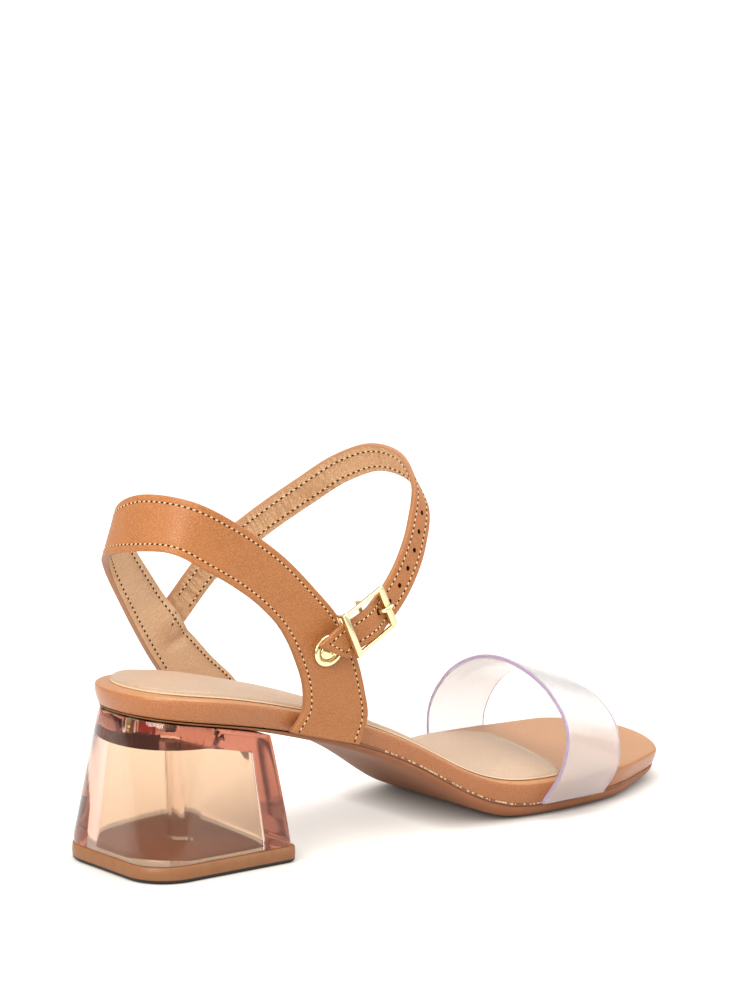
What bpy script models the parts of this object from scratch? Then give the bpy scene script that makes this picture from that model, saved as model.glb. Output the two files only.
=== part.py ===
"""Mid heel sandal, right shoe.

A square-toed footbed on a thin outsole, a clear hollow block heel, a clear band over the toes,
and a leather band round the heel with an instep strap that closes at a hook buckle.

Sizes are in millimetres and are turned to metres when a mesh is made.
x runs from the back of the heel to the toe, +y is the inner (medial) side, z is up from the floor.
"""
import math

import bmesh
import bpy
import numpy as np

MM = 0.001
GAP = 0.3                      # clearance between pieces that touch
LAP = 0.1                      # how far shapes that are joined reach into each other
REACH = 4.0                    # how far a cutter passes what it cuts
CREASE = math.radians(40)      # edges sharper than this stay sharp


class Table:
    """A short table: column names in one string, then one row for each section."""

    def __init__(self, columns, rows):
        self.columns = dict(zip(columns.split(), np.array(rows, float).T))

    def __getitem__(self, name):
        return self.columns[name]

    def points(self, prefix=""):
        return np.stack([self[prefix + axis] for axis in "xyz"], axis=1)


# Footbed: plan shape, and heights above the floor of the board and of the outsole under it
FOOTBED = Table("x centre half_width board_bottom board_thick sole_bottom", [
    (2, 0.0, 28.2, 54.6, 7.5, 53.3),
    (30, 0.0, 28.8, 50.3, 8.5, 48.9),
    (60, -0.7, 28.2, 43.3, 7.9, 41.0),
    (85, -1.2, 28.7, 36.0, 7.4, 32.8),
    (110, -1.5, 30.4, 24.8, 7.2, 21.5),
    (122, -1.2, 32.3, 17.6, 7.2, 14.0),
    (135, -0.8, 35.2, 10.2, 7.6, 5.6),
    (146, -0.4, 37.6, 6.4, 8.2, 0.7),
    (155, 0.0, 39.2, 5.0, 8.4, 0.0),
    (175, 0.8, 41.5, 5.2, 8.4, 0.0),
    (196, 1.9, 41.0, 5.4, 7.6, 0.0),
    (215, 5.4, 36.8, 5.7, 6.6, 0.9),
    (232, 9.0, 32.0, 6.4, 5.6, 2.2),
    (244, 12.0, 27.0, 7.2, 4.9, 3.9),
])
HEEL_ROUND = 30.0              # length of the rounded heel end of the footbed
TOE_ROUND = 18.0               # length of the rounded toe end
HEEL_POWER = 2.1
TOE_POWER = 2.0

# Side of the wrapped board, from its underside up: how far in, and how far up its thickness
BOARD_SIDE = Table("inset rise", [
    (2.6, 0.0), (1.4, 0.06), (0.6, 0.3), (0.15, 0.6), (0.0, 0.76), (0.4, 0.89), (1.4, 0.97), (3.0, 1.0),
])
# Side of the outsole, from the floor up
SOLE_SIDE = Table("inset rise", [
    (8.0, 0.0), (5.2, 0.05), (3.0, 0.25), (1.8, 0.6), (1.6, 0.88), (2.2, 1.0),
])

# Padded sock: plan shape and height of its crown above the flange
SOCK = Table("x centre half_width crown", [
    (7.6, 0.0, 25.0, 0.7),
    (33, 0.0, 25.6, 1.4),
    (60, -0.7, 25.0, 1.8),
    (85, -1.2, 25.5, 1.7),
    (110, -1.5, 27.2, -0.5),
    (135, -0.8, 32.0, -0.2),
    (155, -0.3, 35.8, 1.8),
    (168, -0.2, 37.4, 2.4),
    (178, 6.0, 33.0, 2.2),
    (184, 15.0, 25.5, 1.6),
    (189.5, 22.0, 18.0, 1.0),
])
SOCK_HEEL_ROUND = 27.0
SOCK_TOE_ROUND = 22.0
SOCK_TOE_POWER = 1.8
SOCK_FLANGE = 3.0              # flat margin round the crown
SOCK_SHOULDER = 9.0            # width over which the crown rises
SOCK_SIDE = Table("inset rise", [(0.5, 0.0), (0.0, 0.4), (0.25, 0.95), (0.9, 1.2)])

# Clear band over the toes: rear and front edge of its middle surface, outer side to inner side
VAMP = Table("rear_x rear_y rear_z front_x front_y front_z", [
    (157.9, -40.5, 5.5, 185.4, -42.2, 5.8),
    (161.5, -46.5, 17.5, 190.8, -44.0, 15.6),
    (165.2, -45.5, 31.0, 194.3, -39.5, 26.9),
    (167.5, -33.4, 42.4, 196.4, -27.8, 35.0),
    (168.6, -15.5, 49.2, 197.8, -12.1, 38.7),
    (170.0, 3.2, 49.6, 199.2, 4.9, 40.0),
    (171.8, 20.1, 44.0, 201.0, 20.7, 38.2),
    (174.5, 34.2, 34.5, 202.6, 34.0, 30.7),
    (176.6, 43.9, 20.8, 203.9, 43.6, 17.3),
    (177.4, 45.0, 6.0, 204.4, 45.0, 6.2),
])
VAMP_THICK = 1.5
VAMP_STATIONS = 34
VAMP_MIDDLE_LEVEL = 10.0       # level inside the arch that the band faces away from

# Leather band round the heel: upper and lower edge of its middle surface, outer foot to inner foot
BAND = Table("upper_x upper_y upper_z lower_x lower_y lower_z", [
    (82.0, -31.2, 36.8, 53.8, -30.9, 45.0),
    (85.5, -31.5, 46.4, 58.9, -31.2, 51.8),
    (84.2, -31.4, 55.2, 59.3, -31.1, 58.9),
    (80.8, -31.0, 67.7, 56.3, -30.6, 69.4),
    (74.7, -30.1, 80.4, 51.1, -29.9, 79.8),
    (64.7, -28.7, 92.3, 43.5, -29.0, 88.3),
    (52.6, -27.1, 104.5, 33.4, -27.7, 96.2),
    (37.8, -25.3, 115.4, 23.2, -25.3, 102.6),
    (24.0, -21.2, 123.8, 14.6, -20.0, 108.2),
    (15.2, -4.5, 125.8, 9.9, -4.6, 107.6),
    (15.8, 12.4, 119.4, 10.8, 12.6, 103.6),
    (26.5, 24.4, 107.6, 18.4, 23.9, 96.0),
    (38.8, 27.5, 91.5, 27.6, 27.9, 82.0),
    (53.5, 29.1, 72.5, 38.9, 29.3, 63.8),
    (64.5, 29.6, 60.6, 44.0, 29.6, 56.6),
    (76.8, 29.7, 48.4, 48.6, 29.6, 50.0),
    (82.0, 29.3, 38.0, 51.5, 29.3, 45.2),
])
BAND_THICK = 2.6
BAND_STATIONS = 50
HEEL_AXIS = 45.0               # upright line inside the band that it faces away from

# Instep strap: its middle line, from inside the band on the inner side to its free tip
STRAP = Table("x y z", [
    (43.5, 28.9, 71.4),
    (48.8, 29.0, 76.2),
    (66.3, 29.6, 92.3),
    (84.1, 25.7, 104.8),
    (98.9, 18.9, 115.3),
    (109.2, 10.2, 123.9),
    (115.4, -0.5, 128.1),
    (118.2, -12.4, 125.9),
    (116.8, -22.0, 117.7),
    (110.6, -28.0, 105.0),
    (101.8, -31.5, 92.6),
    (93.4, -33.2, 84.4),
    (89.5, -33.9, 81.7),
    (84.6, -36.2, 79.6),
    (79.4, -36.4, 77.3),
    (75.5, -35.9, 75.7),
    (67.6, -36.0, 71.2),
])
STRAP_LEAN = (-0.47, 0.05, 0.87)   # direction of the strap's width, before it is squared to the path
STRAP_WIDTH = 10.8
STRAP_THICK = 1.8
STRAP_STATIONS = 42
STRAP_TIP_SLANT = 3.6          # how far each corner of the tip runs past or short of the middle
STRAP_MIDDLE = (75.0, 0.0, 100.0)  # place inside the foot that the strap faces away from

# Buckle, in its own directions: along the strap, across it, and outwards
BUCKLE_PLACE = (82.9, -34.7, 79.9)
BUCKLE_SLOPE = math.radians(23.1)
BUCKLE_TURN = math.radians(8.0)    # the strap's upper end turns in round the foot
BUCKLE_LEAN = math.radians(-2.0)   # the upper rail leans in a little
FRAME_ALONG = (-10.7, 10.6)
FRAME_ACROSS = 7.8
WINDOW_ALONG = (-8.7, 7.9)
WINDOW_ACROSS = 6.6
FRAME_LEVEL = (1.3, 2.9)
BAR_SIZE = 1.4
CENTRE_BAR_LEVEL = -0.5
HOOK_ALONG = -9.4              # lower bar that carries the hook
HOOK_LEVEL = (-2.1, -1.35)
HOOK_HALF_WIDTH = 2.2
HOOK_THICK = 0.6
PEG_SIZE = (2.6, 1.9)
PEG_LEVEL = (-0.6, 3.2)
PRONG_RADIUS = 0.7
PRONG_STATIONS = 14
PRONG_SIDES = 8
PRONG_ROUTE = Table("along out", [
    (1.8, -0.75), (3.6, -0.95), (4.9, -0.7), (5.7, 0.5), (6.1, 2.0), (6.9, 3.5), (8.4, 3.9), (11.0, 3.75),
])
PRONG_HOLE_ALONG = 5.7
PRONG_HOLE_RADIUS = 1.5
PUNCH_RADIUS = 0.9
PUNCH_SIDES = 8
PUNCH_PITCH = 7.0
PUNCH_COUNT = 6

# Oval eyelet on the outer side of the band
EYELET_PLACE = (69.0, -31.0, 71.0)
EYELET_SLOPE = math.radians(25.0)
EYELET_OPENING = (3.9, 2.9)
EYELET_BARREL = (4.6, 3.6)
EYELET_FLANGE = (6.3, 5.1)
EYELET_FLANGE_THICK = 0.8
EYELET_SIDES = 24

# Block heel: its section at the seat and at the floor end
HEEL = Table("level rear front half_rear half_front round_rear round_front", [
    (0.0, 3.6, 50.6, 25.4, 26.2, 24.0, 2.5),
    (1.0, -0.9, 56.2, 28.9, 30.7, 15.0, 3.5),
])
HEEL_LEVELS = (0.0, 0.03, 0.3, 0.6, 0.97, 1.0)
FRONT_ARC_STEPS = 5
REAR_ARC_STEPS = 15
HEEL_EDGE = 0.5                # how far the first and last section are drawn in
# The core that hollows the heel from below
CORE = Table("level rear front half_rear half_front round_rear round_front", [
    (0.0, 7.8, 44.4, 21.0, 21.8, 18.0, 2.0),
    (1.0, 6.8, 48.4, 22.2, 23.2, 14.0, 2.5),
])
SEAT_THICK = 7.4
ROOF_LEVEL = 42.1              # the hollow's roof is level at the back
BOSS_PLACE = 27.0
BOSS_RADIUS = 2.8
TIP_THICK = 5.6
TIP_REACH = 1.2                # how far the tip runs past the block in front
TIP_SIDE = Table("inset z", [(0.8, 0.0), (0.0, 0.7), (-0.2, 2.8), (0.0, 5.2), (0.5, 5.6)])
SCREW_PLACES = (14.0, 27.0, 40.0)
SCREW_RADIUS = 2.1
SCREW_CORE = 1.65
SCREW_LENGTH = 5.0
SCREW_RIDGES = 4
SCREW_SIDES = 10


def slopes(knots, values, level):
    """Slope of a smooth curve at each knot; level keeps it from passing its own data."""
    step = np.diff(knots)[:, None]
    chord = np.diff(values, axis=0) / step
    inner = (step[1:] * chord[:-1] + step[:-1] * chord[1:]) / (step[1:] + step[:-1])
    if level:
        same = chord[:-1] * chord[1:] > 0
        limit = 2 * np.minimum(abs(chord[:-1]), abs(chord[1:]))
        inner = np.where(same, np.clip(inner, -limit, limit), 0.0)
    return np.concatenate([chord[:1], inner, chord[-1:]])


def curve_at(knots, values, where, level=False):
    """Cubic curve through the values, read at the places given."""
    knots = np.asarray(knots, float)
    values = np.asarray(values, float)
    flat = values.ndim == 1
    values = values.reshape(len(knots), -1)
    tangent = slopes(knots, values, level)
    where = np.clip(np.atleast_1d(where), knots[0], knots[-1])
    span = np.clip(np.searchsorted(knots, where, side="right") - 1, 0, len(knots) - 2)
    width = (knots[span + 1] - knots[span])[:, None]
    t = (where - knots[span])[:, None] / width
    out = ((1 + 2 * t) * (1 - t) ** 2 * values[span] + t * (1 - t) ** 2 * width * tangent[span]
           + t * t * (3 - 2 * t) * values[span + 1] - t * t * (1 - t) * width * tangent[span + 1])
    return out[:, 0] if flat else out


def profile(table, name, x):
    return curve_at(table["x"], table[name], x, level=True)


def resample(count, *edges):
    """Points at even steps along curves that share their rows; the first and last rows are kept."""
    rows = np.concatenate(edges, axis=1)
    middle = sum(edges) / len(edges)
    knots = np.concatenate([[0], np.cumsum(np.linalg.norm(np.diff(middle, axis=0), axis=1))])
    even = curve_at(knots, rows, np.linspace(0, knots[-1], count))
    return np.split(even, len(edges), axis=1)


def unit(vectors):
    return vectors / np.linalg.norm(vectors, axis=-1, keepdims=True)


# Plan loops: pole at the heel, outer side to the toe pole, inner side back, so i and n - i are a pair

def plan_loop(table, heel_round, toe_round, heel_power, toe_power, arc_steps=7, step=9.0):
    start, end = table["x"][0], table["x"][-1]
    turn = np.linspace(0, math.pi / 2, arc_steps + 1)
    heel = start + heel_round * (1 - np.cos(turn))
    toe = end - toe_round * (1 - np.sin(turn))
    count = round((toe[0] - heel[-1]) / step)
    x = np.concatenate([heel[:-1], np.linspace(heel[-1], toe[0], count + 1), toe[1:]])
    to_heel = np.clip(1 - (x - start) / heel_round, 0, 1)
    to_toe = np.clip(1 - (end - x) / toe_round, 0, 1)
    half = profile(table, "half_width", x)
    half = half * (1 - to_heel ** heel_power) ** (1 / heel_power)
    half = half * (1 - to_toe ** toe_power) ** (1 / toe_power)
    centre = profile(table, "centre", x)
    outer = np.stack([x, centre - half], axis=1)
    inner = np.stack([x, centre + half], axis=1)
    return np.concatenate([outer, inner[-2:0:-1]])


def drawn_in(loop, inset):
    """The plan loop moved inwards, square to itself."""
    along = unit(np.roll(loop, -1, axis=0) - np.roll(loop, 1, axis=0))
    return loop + inset * np.stack([-along[:, 1], along[:, 0]], axis=1)


def edge_distance(points, loop):
    return np.array([np.linalg.norm(loop - p, axis=1).min() for p in points])


def lofted_loops(bm, loops):
    rings = [[bm.verts.new(p * MM) for p in loop] for loop in loops]
    for low, high in zip(rings, rings[1:]):
        for i in range(len(low)):
            j = (i + 1) % len(low)
            bm.faces.new((low[i], low[j], high[j], high[i]))
    return rings


def pair_cap(bm, ring, shares, height, poles, flip):
    """Closes a loop with strips from each point to its pair, through points at the given shares."""
    if poles:
        pairs = list(zip(ring[1:], ring[:len(ring) // 2:-1]))
    else:
        pairs = list(zip(ring, ring[:len(ring) // 2 - 1:-1]))
    rows = []
    for outer, inner in pairs:
        mids = [outer.co.lerp(inner.co, share) for share in shares]
        for mid in mids:
            mid.z += height(mid.x / MM, mid.y / MM) * MM
        rows.append([outer, *(bm.verts.new(mid) for mid in mids), inner])
    if poles:
        rows = [[ring[0]], *rows, [ring[len(ring) // 2]]]
    for a, b in zip(rows, rows[1:]):
        for k in range(max(len(a), len(b)) - 1):
            if len(a) == 1:
                corners = (a[0], b[k], b[k + 1])
            elif len(b) == 1:
                corners = (a[k], b[0], a[k + 1])
            else:
                corners = (a[k], b[k], b[k + 1], a[k + 1])
            bm.faces.new(corners[::-1] if flip else corners)


def flat_cap(_x, _y):
    return 0.0


def even_shares(count):
    return [(k + 1) / (count + 1) for k in range(count)]


def stacked(name, loops, material, shares=(), crown=flat_cap, poles=True):
    """A closed solid from paired loops stacked from the bottom up; poles close its two round ends."""
    bm = bmesh.new()
    rings = lofted_loops(bm, loops)
    pair_cap(bm, rings[0], shares, flat_cap, poles, flip=True)
    pair_cap(bm, rings[-1], shares, crown, poles, flip=False)
    return finished(name, bm, material)


def swept(name, sections, material):
    """A closed solid from like closed sections; each end is closed by strips between paired points."""
    bm = bmesh.new()
    rings = lofted_loops(bm, sections)
    half = len(rings[0]) // 2
    for ring in (rings[0], rings[-1]):
        for k in range(half - 1):
            bm.faces.new((ring[k], ring[k + 1], ring[-k - 2], ring[-k - 1]))
    return finished(name, bm, material)


def finished(name, bm, material):
    bmesh.ops.recalc_face_normals(bm, faces=bm.faces)
    mesh = bpy.data.meshes.new(name)
    bm.to_mesh(mesh)
    bm.free()
    mesh.shade_smooth()
    mesh.set_sharp_from_angle(angle=CREASE)
    mesh.materials.append(material)
    obj = bpy.data.objects.new(name, mesh)
    bpy.context.collection.objects.link(obj)
    obj.parent = ROOT
    return obj


def finish_of(name, colour, roughness, metallic=0.0, transmission=0.0):
    material = bpy.data.materials.new(name)
    material.use_nodes = True
    shader = material.node_tree.nodes["Principled BSDF"]
    shader.inputs["Base Color"].default_value = (*colour, 1.0)
    shader.inputs["Roughness"].default_value = roughness
    shader.inputs["Metallic"].default_value = metallic
    shader.inputs["Transmission Weight"].default_value = transmission
    return material


def guide(obj):
    """Marks a shape that only serves to cut or join another."""
    obj.hide_render = True
    obj.display_type = "WIRE"
    return obj


def boolean(obj, operation, other):
    change = obj.modifiers.new(operation.title(), "BOOLEAN")
    change.operation = operation
    change.object = guide(other)
    change.solver = "EXACT"


def ribbon_frame(upper, lower, outward):
    """Middle line, across and outward directions of a ribbon at each station."""
    middle = (upper + lower) / 2
    across = unit(upper - lower)
    along = unit(np.gradient(middle, axis=0))
    normal = unit(np.cross(along, across))
    side = np.sign((normal * (middle - outward(middle))).sum(axis=1).mean())
    return middle, across, normal * side


def ribbon(name, upper, lower, thick, outward, material, columns=3, edge=0.7):
    """A strap between two edge curves, with eased edges."""
    _, across, normal = ribbon_frame(upper, lower, outward)
    half = thick / 2
    shares = np.linspace(0, 1, columns + 2)
    faces = [lower + edge * across + share * (upper - lower - 2 * edge * across) for share in shares]
    lip = 0.35 * half * normal
    outer = [lower + lip, *(face + half * normal for face in faces), upper + lip]
    inner = [upper - lip, *(face - half * normal for face in faces[::-1]), lower - lip]
    return swept(name, np.stack(outer + inner, axis=1), material)


def round_bar(name, start, end, radius, material, sides=12):
    """A cylinder between two points."""
    start, end = np.array(start, float), np.array(end, float)
    axis = unit(end - start)
    side = unit(np.cross(axis, (0.31, 0.52, 0.79)))
    turn = np.linspace(0, 2 * math.pi, sides, endpoint=False)[:, None]
    ring = radius * (np.cos(turn) * side + np.sin(turn) * np.cross(axis, side))
    return swept(name, [start + ring, end + ring], material)


# Footbed pieces

def board_loop(inset, x_height):
    plan = drawn_in(FOOTBED_PLAN, inset)
    return np.column_stack([plan, x_height(plan[:, 0])])


def board_top(x):
    return profile(FOOTBED, "board_bottom", x) + profile(FOOTBED, "board_thick", x)


def between(low, high, share):
    return lambda x: low(x) * (1 - share) + high(x) * share


def make_insole():
    def bottom(x):
        return profile(FOOTBED, "board_bottom", x)
    loops = [board_loop(inset, between(bottom, board_top, rise))
             for inset, rise in zip(BOARD_SIDE["inset"], BOARD_SIDE["rise"])]
    return stacked("insole", loops, TAN_LEATHER, even_shares(5))


def make_outsole():
    def floor_side(x):
        return profile(FOOTBED, "sole_bottom", x)

    def board_side(x):
        return profile(FOOTBED, "board_bottom", x) - GAP
    loops = [board_loop(inset, between(floor_side, board_side, rise))
             for inset, rise in zip(SOLE_SIDE["inset"], SOLE_SIDE["rise"])]
    return stacked("outsole", loops, RUBBER, even_shares(5))


def make_sock():
    plan = plan_loop(SOCK, SOCK_HEEL_ROUND, SOCK_TOE_ROUND, HEEL_POWER, SOCK_TOE_POWER)
    loops = []
    for inset, rise in zip(SOCK_SIDE["inset"], SOCK_SIDE["rise"]):
        edge = drawn_in(plan, inset)
        loops.append(np.column_stack([edge, board_top(edge[:, 0]) + GAP + rise]))

    def crown(x, y):
        share = (edge_distance(np.array([[x, y]]), plan)[0] - SOCK_FLANGE) / SOCK_SHOULDER
        share = min(max(share, 0.0), 1.0)
        return profile(SOCK, "crown", x)[0] * share * share * (3 - 2 * share)
    shares = (0.05, 0.1, 0.18, 0.33, 0.5, 0.67, 0.82, 0.9, 0.95)
    return stacked("sock_pad", loops, LINING, shares, crown)


# Straps

def vamp_edges():
    return resample(VAMP_STATIONS, VAMP.points("rear_"), VAMP.points("front_"))


def make_vamp():
    rear, front = vamp_edges()

    def inside(middle):
        return middle * (1, 0, 0) + (0, 0, VAMP_MIDDLE_LEVEL)
    return ribbon("vamp_strap", front, rear, VAMP_THICK, inside, VINYL, columns=4, edge=0.5)


def band_edges():
    return resample(BAND_STATIONS, BAND.points("upper_"), BAND.points("lower_"))


def heel_axis(middle):
    return middle * (0, 0, 1) + (HEEL_AXIS, 0, 0)


def strap_edges():
    (middle,) = resample(STRAP_STATIONS, STRAP.points())
    along = unit(np.gradient(middle, axis=0))
    lean = np.array(STRAP_LEAN)
    across = unit(lean - (along @ lean)[:, None] * along)
    upper = middle + across * STRAP_WIDTH / 2
    lower = middle - across * STRAP_WIDTH / 2
    upper[-1] += along[-1] * STRAP_TIP_SLANT
    lower[-1] -= along[-1] * STRAP_TIP_SLANT
    return upper, lower


def foot_middle(_middle):
    return np.array(STRAP_MIDDLE)


def make_ankle_strap():
    upper, lower = band_edges()
    band = ribbon("ankle_strap", upper, lower, BAND_THICK, heel_axis, TAN_LEATHER, columns=2)
    upper, lower = strap_edges()
    strap = ribbon("instep_shape", upper, lower, STRAP_THICK, foot_middle, TAN_LEATHER, columns=1)
    boolean(band, "UNION", strap)
    boolean(band, "DIFFERENCE", eyelet_hole())
    for hole in strap_holes():
        boolean(band, "DIFFERENCE", hole)
    return band


def strap_holes():
    """The hole that the prong goes through, then the punched holes up the strap."""
    upper, lower = strap_edges()
    middle, _, normal = ribbon_frame(upper[:-1], lower[:-1], foot_middle)
    places = np.concatenate([[0], np.cumsum(np.linalg.norm(np.diff(middle, axis=0), axis=1))])
    prong = buckle_point(PRONG_HOLE_ALONG, 0.0, 0.0)
    start = places[np.linalg.norm(middle - prong, axis=1).argmin()]
    inside, outside = (buckle_point(PRONG_HOLE_ALONG, 0, out) for out in (-REACH, REACH))
    holes = [round_bar("prong_hole", inside, outside, PRONG_HOLE_RADIUS, METAL)]
    for k in range(1, PUNCH_COUNT + 1):
        place = start - k * PUNCH_PITCH
        centre = curve_at(places, middle, place)[0]
        out = curve_at(places, normal, place)[0]
        reach = REACH * out
        hole = round_bar(f"punch_{k}", centre - reach, centre + reach, PUNCH_RADIUS, METAL, PUNCH_SIDES)
        holes.append(hole)
    return holes


# Buckle and eyelet

def buckle_axes():
    """The buckle's directions: along the strap, across it and outwards."""
    level = math.cos(BUCKLE_TURN)
    run = np.array((math.cos(BUCKLE_SLOPE) * level, math.sin(BUCKLE_TURN), math.sin(BUCKLE_SLOPE) * level))
    rise = np.array((-math.sin(BUCKLE_SLOPE), 0, math.cos(BUCKLE_SLOPE)))
    rise = math.cos(BUCKLE_LEAN) * rise + math.sin(BUCKLE_LEAN) * np.cross(run, rise)
    return np.array((run, rise, np.cross(run, rise)))


def buckle_point(along, across, out):
    return np.array(BUCKLE_PLACE) + np.array((along, across, out)) @ buckle_axes()


def buckle_box(name, along, across, out):
    """A box in the buckle's directions, from pairs of limits."""
    (a0, a1), (c0, c1), (o0, o1) = along, across, out
    rings = [[buckle_point(a, c, o) for a, c in ((a0, c0), (a1, c0), (a1, c1), (a0, c1))] for o in (o0, o1)]
    return swept(name, [np.array(ring) for ring in rings], METAL)


def make_buckle_frame():
    half = BAR_SIZE / 2
    low, high = FRAME_LEVEL
    frame = buckle_box("buckle_frame", FRAME_ALONG, (-FRAME_ACROSS, FRAME_ACROSS), FRAME_LEVEL)
    boolean(frame, "DIFFERENCE", buckle_box("window", WINDOW_ALONG, (-WINDOW_ACROSS, WINDOW_ACROSS),
                                            (low - REACH, high + REACH)))
    # Bars under the strap, carried by a leg at each rail: the centre bar, then the one with the hook
    bars = (("centre", 0.0, half, (CENTRE_BAR_LEVEL - half, CENTRE_BAR_LEVEL + half)),
            ("hook", HOOK_ALONG, half, HOOK_LEVEL))
    leg_in, leg_out = WINDOW_ACROSS + LAP, FRAME_ACROSS - LAP
    for name, along, reach, level in bars:
        run = (along - reach, along + reach)
        for side in (-1, 1):
            limits = sorted((side * leg_in, side * leg_out))
            leg = buckle_box(f"{name}_leg_{side}", run, limits, (level[0] + LAP, (low + high) / 2))
            boolean(frame, "UNION", leg)
        rail = (run[0] + LAP / 2, run[1] - LAP / 2)
        boolean(frame, "UNION", buckle_box(f"{name}_bar", rail, (LAP - leg_out, leg_out - LAP), level))
    # The hook: a plate from its bar to the eyelet, and a peg that goes in
    along, across, out = eyelet_in_buckle()
    seat = out + BAND_THICK / 2 + EYELET_FLANGE_THICK + 2 * GAP
    rings = []
    for place, level in ((along, seat), (HOOK_ALONG, HOOK_LEVEL[0] + LAP)):
        corners = ((-1, 0), (1, 0), (1, 1), (-1, 1))
        rings.append(np.array([buckle_point(place, across + side * HOOK_HALF_WIDTH, level + up * HOOK_THICK)
                               for side, up in corners]))
    boolean(frame, "UNION", swept("hook_plate", rings, METAL))
    centre, _, out = eyelet_frame()
    peg = oval_stack("hook_peg", PEG_SIZE, [(0.0, level) for level in PEG_LEVEL], centre, out, METAL)
    boolean(frame, "UNION", peg)
    return frame


def make_prong():
    route = np.stack([PRONG_ROUTE["along"], 0 * PRONG_ROUTE["along"], PRONG_ROUTE["out"]], axis=1)
    (route,) = resample(PRONG_STATIONS, route)
    line = np.array([buckle_point(*p) for p in route])
    along = unit(np.gradient(line, axis=0))
    rise = buckle_axes()[1]
    side = np.cross(along, rise)
    turn = np.linspace(0, 2 * math.pi, PRONG_SIDES, endpoint=False)
    rings = np.stack([line + PRONG_RADIUS * (math.cos(t) * rise + math.sin(t) * side) for t in turn], axis=1)
    return swept("buckle_prong", rings, METAL)


def eyelet_frame():
    """Place on the band's middle surface, and the way out of it, where the eyelet sits."""
    upper, lower = band_edges()
    middle, across, normal = ribbon_frame(upper, lower, heel_axis)
    near = np.linalg.norm(middle - EYELET_PLACE, axis=1).argmin()
    out = normal[near]
    offset = np.array(EYELET_PLACE) - middle[near]
    return np.array(EYELET_PLACE) - (offset @ out) * out, across[near], out


def eyelet_in_buckle():
    """The eyelet's place in the buckle's directions."""
    centre, _, _ = eyelet_frame()
    return buckle_axes() @ (centre - BUCKLE_PLACE)


def oval_ring(size, grow, level, centre, out):
    """An oval loop square to the eyelet's axis; level is measured outwards from the band's middle."""
    run = np.array((math.cos(EYELET_SLOPE), 0, math.sin(EYELET_SLOPE)))
    run = unit(run - (run @ out) * out)
    rise = np.cross(out, run)
    turn = np.linspace(0, 2 * math.pi, EYELET_SIDES, endpoint=False)[:, None]
    return (centre + level * out + (size[0] + grow) * np.cos(turn) * run
            + (size[1] + grow) * np.sin(turn) * rise)


def oval_stack(name, size, levels, centre, out, material):
    return swept(name, [oval_ring(size, grow, level, centre, out) for grow, level in levels], material)


def eyelet_hole():
    centre, _, out = eyelet_frame()
    return oval_stack("eyelet_hole", EYELET_BARREL, [(GAP, -REACH), (GAP, REACH)], centre, out, METAL)


def make_eyelet():
    centre, _, out = eyelet_frame()
    skin = BAND_THICK / 2
    back = skin + GAP
    front = back + EYELET_FLANGE_THICK
    loops = [(EYELET_OPENING, 0.0, -skin), (EYELET_BARREL, 0.0, -skin), (EYELET_BARREL, 0.0, back),
             (EYELET_FLANGE, 0.0, back), (EYELET_FLANGE, 0.0, front - 0.35), (EYELET_FLANGE, -0.5, front),
             (EYELET_OPENING, 0.6, front), (EYELET_OPENING, 0.0, front - 0.5)]
    bm = bmesh.new()
    rings = lofted_loops(bm, [oval_ring(size, grow, level, centre, out) for size, grow, level in loops])
    for i in range(EYELET_SIDES):
        j = (i + 1) % EYELET_SIDES
        bm.faces.new((rings[-1][i], rings[-1][j], rings[0][j], rings[0][i]))
    return finished("eyelet", bm, METAL)


# Heel

def arc(centre, radius, start, end, steps):
    turn = np.radians(np.linspace(start, end, steps + 1))[:, None]
    return np.array(centre) + radius * np.concatenate([np.cos(turn), np.sin(turn)], axis=1)


def heel_section(table, level):
    """Plan of the heel at a level: flat breast in front, rounded corners at the back."""
    rear, front, half_rear, half_front, round_rear, round_front = (
        np.interp(level, table["level"], table[name])
        for name in ("rear", "front", "half_rear", "half_front", "round_rear", "round_front"))
    front_arc = arc((front - round_front, half_front - round_front), round_front, 0, 90, FRONT_ARC_STEPS)
    rear_arc = arc((rear + round_rear, half_rear - round_rear), round_rear, 90, 180, REAR_ARC_STEPS)
    side = np.linspace(front_arc[-1], rear_arc[0], 5)[1:-1]
    inner = np.concatenate([front_arc, side, rear_arc])
    return np.concatenate([inner, inner[::-1] * (1, -1)])


def seat_height(x):
    return profile(FOOTBED, "sole_bottom", x) - GAP


def heel_loops(table, levels, top, bottom, edge):
    """Sections from the floor end up to the sloping seat; the outermost two are drawn in by edge."""
    seat = heel_section(table, 0.0)
    loops = []
    for level in sorted(levels, reverse=True):
        plan = heel_section(table, level)
        if level in (0.0, 1.0):
            plan = drawn_in(plan, edge)
        loops.append(np.column_stack([plan, top(seat[:, 0]) * (1 - level) + bottom * level]))
    return loops


def make_heel():
    foot = TIP_THICK + GAP
    heel = stacked("heel_block", heel_loops(HEEL, HEEL_LEVELS, seat_height, foot, HEEL_EDGE), CLEAR_RESIN,
                   poles=False)

    def roof(x):
        return np.minimum(seat_height(x) - SEAT_THICK, ROOF_LEVEL)
    hollow = heel_loops(CORE, (0.0, 1.0), roof, foot - REACH, 0.0)
    core = stacked("heel_core", hollow, CLEAR_RESIN, poles=False)
    boolean(heel, "DIFFERENCE", core)
    boss_top = roof(BOSS_PLACE)[0] + SEAT_THICK / 3
    boolean(heel, "UNION", round_bar("boss", (BOSS_PLACE, 0, foot), (BOSS_PLACE, 0, boss_top), BOSS_RADIUS,
                                     CLEAR_RESIN, sides=16))
    for k, place in enumerate(SCREW_PLACES, 1):
        top = seat_height(place)[0]
        pocket = round_bar(f"pocket_{k}", (place, 0, top - SCREW_LENGTH - 2 * GAP), (place, 0, top + REACH),
                           SCREW_RADIUS + GAP, CLEAR_RESIN)
        boolean(heel, "DIFFERENCE", pocket)
    return heel


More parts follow.
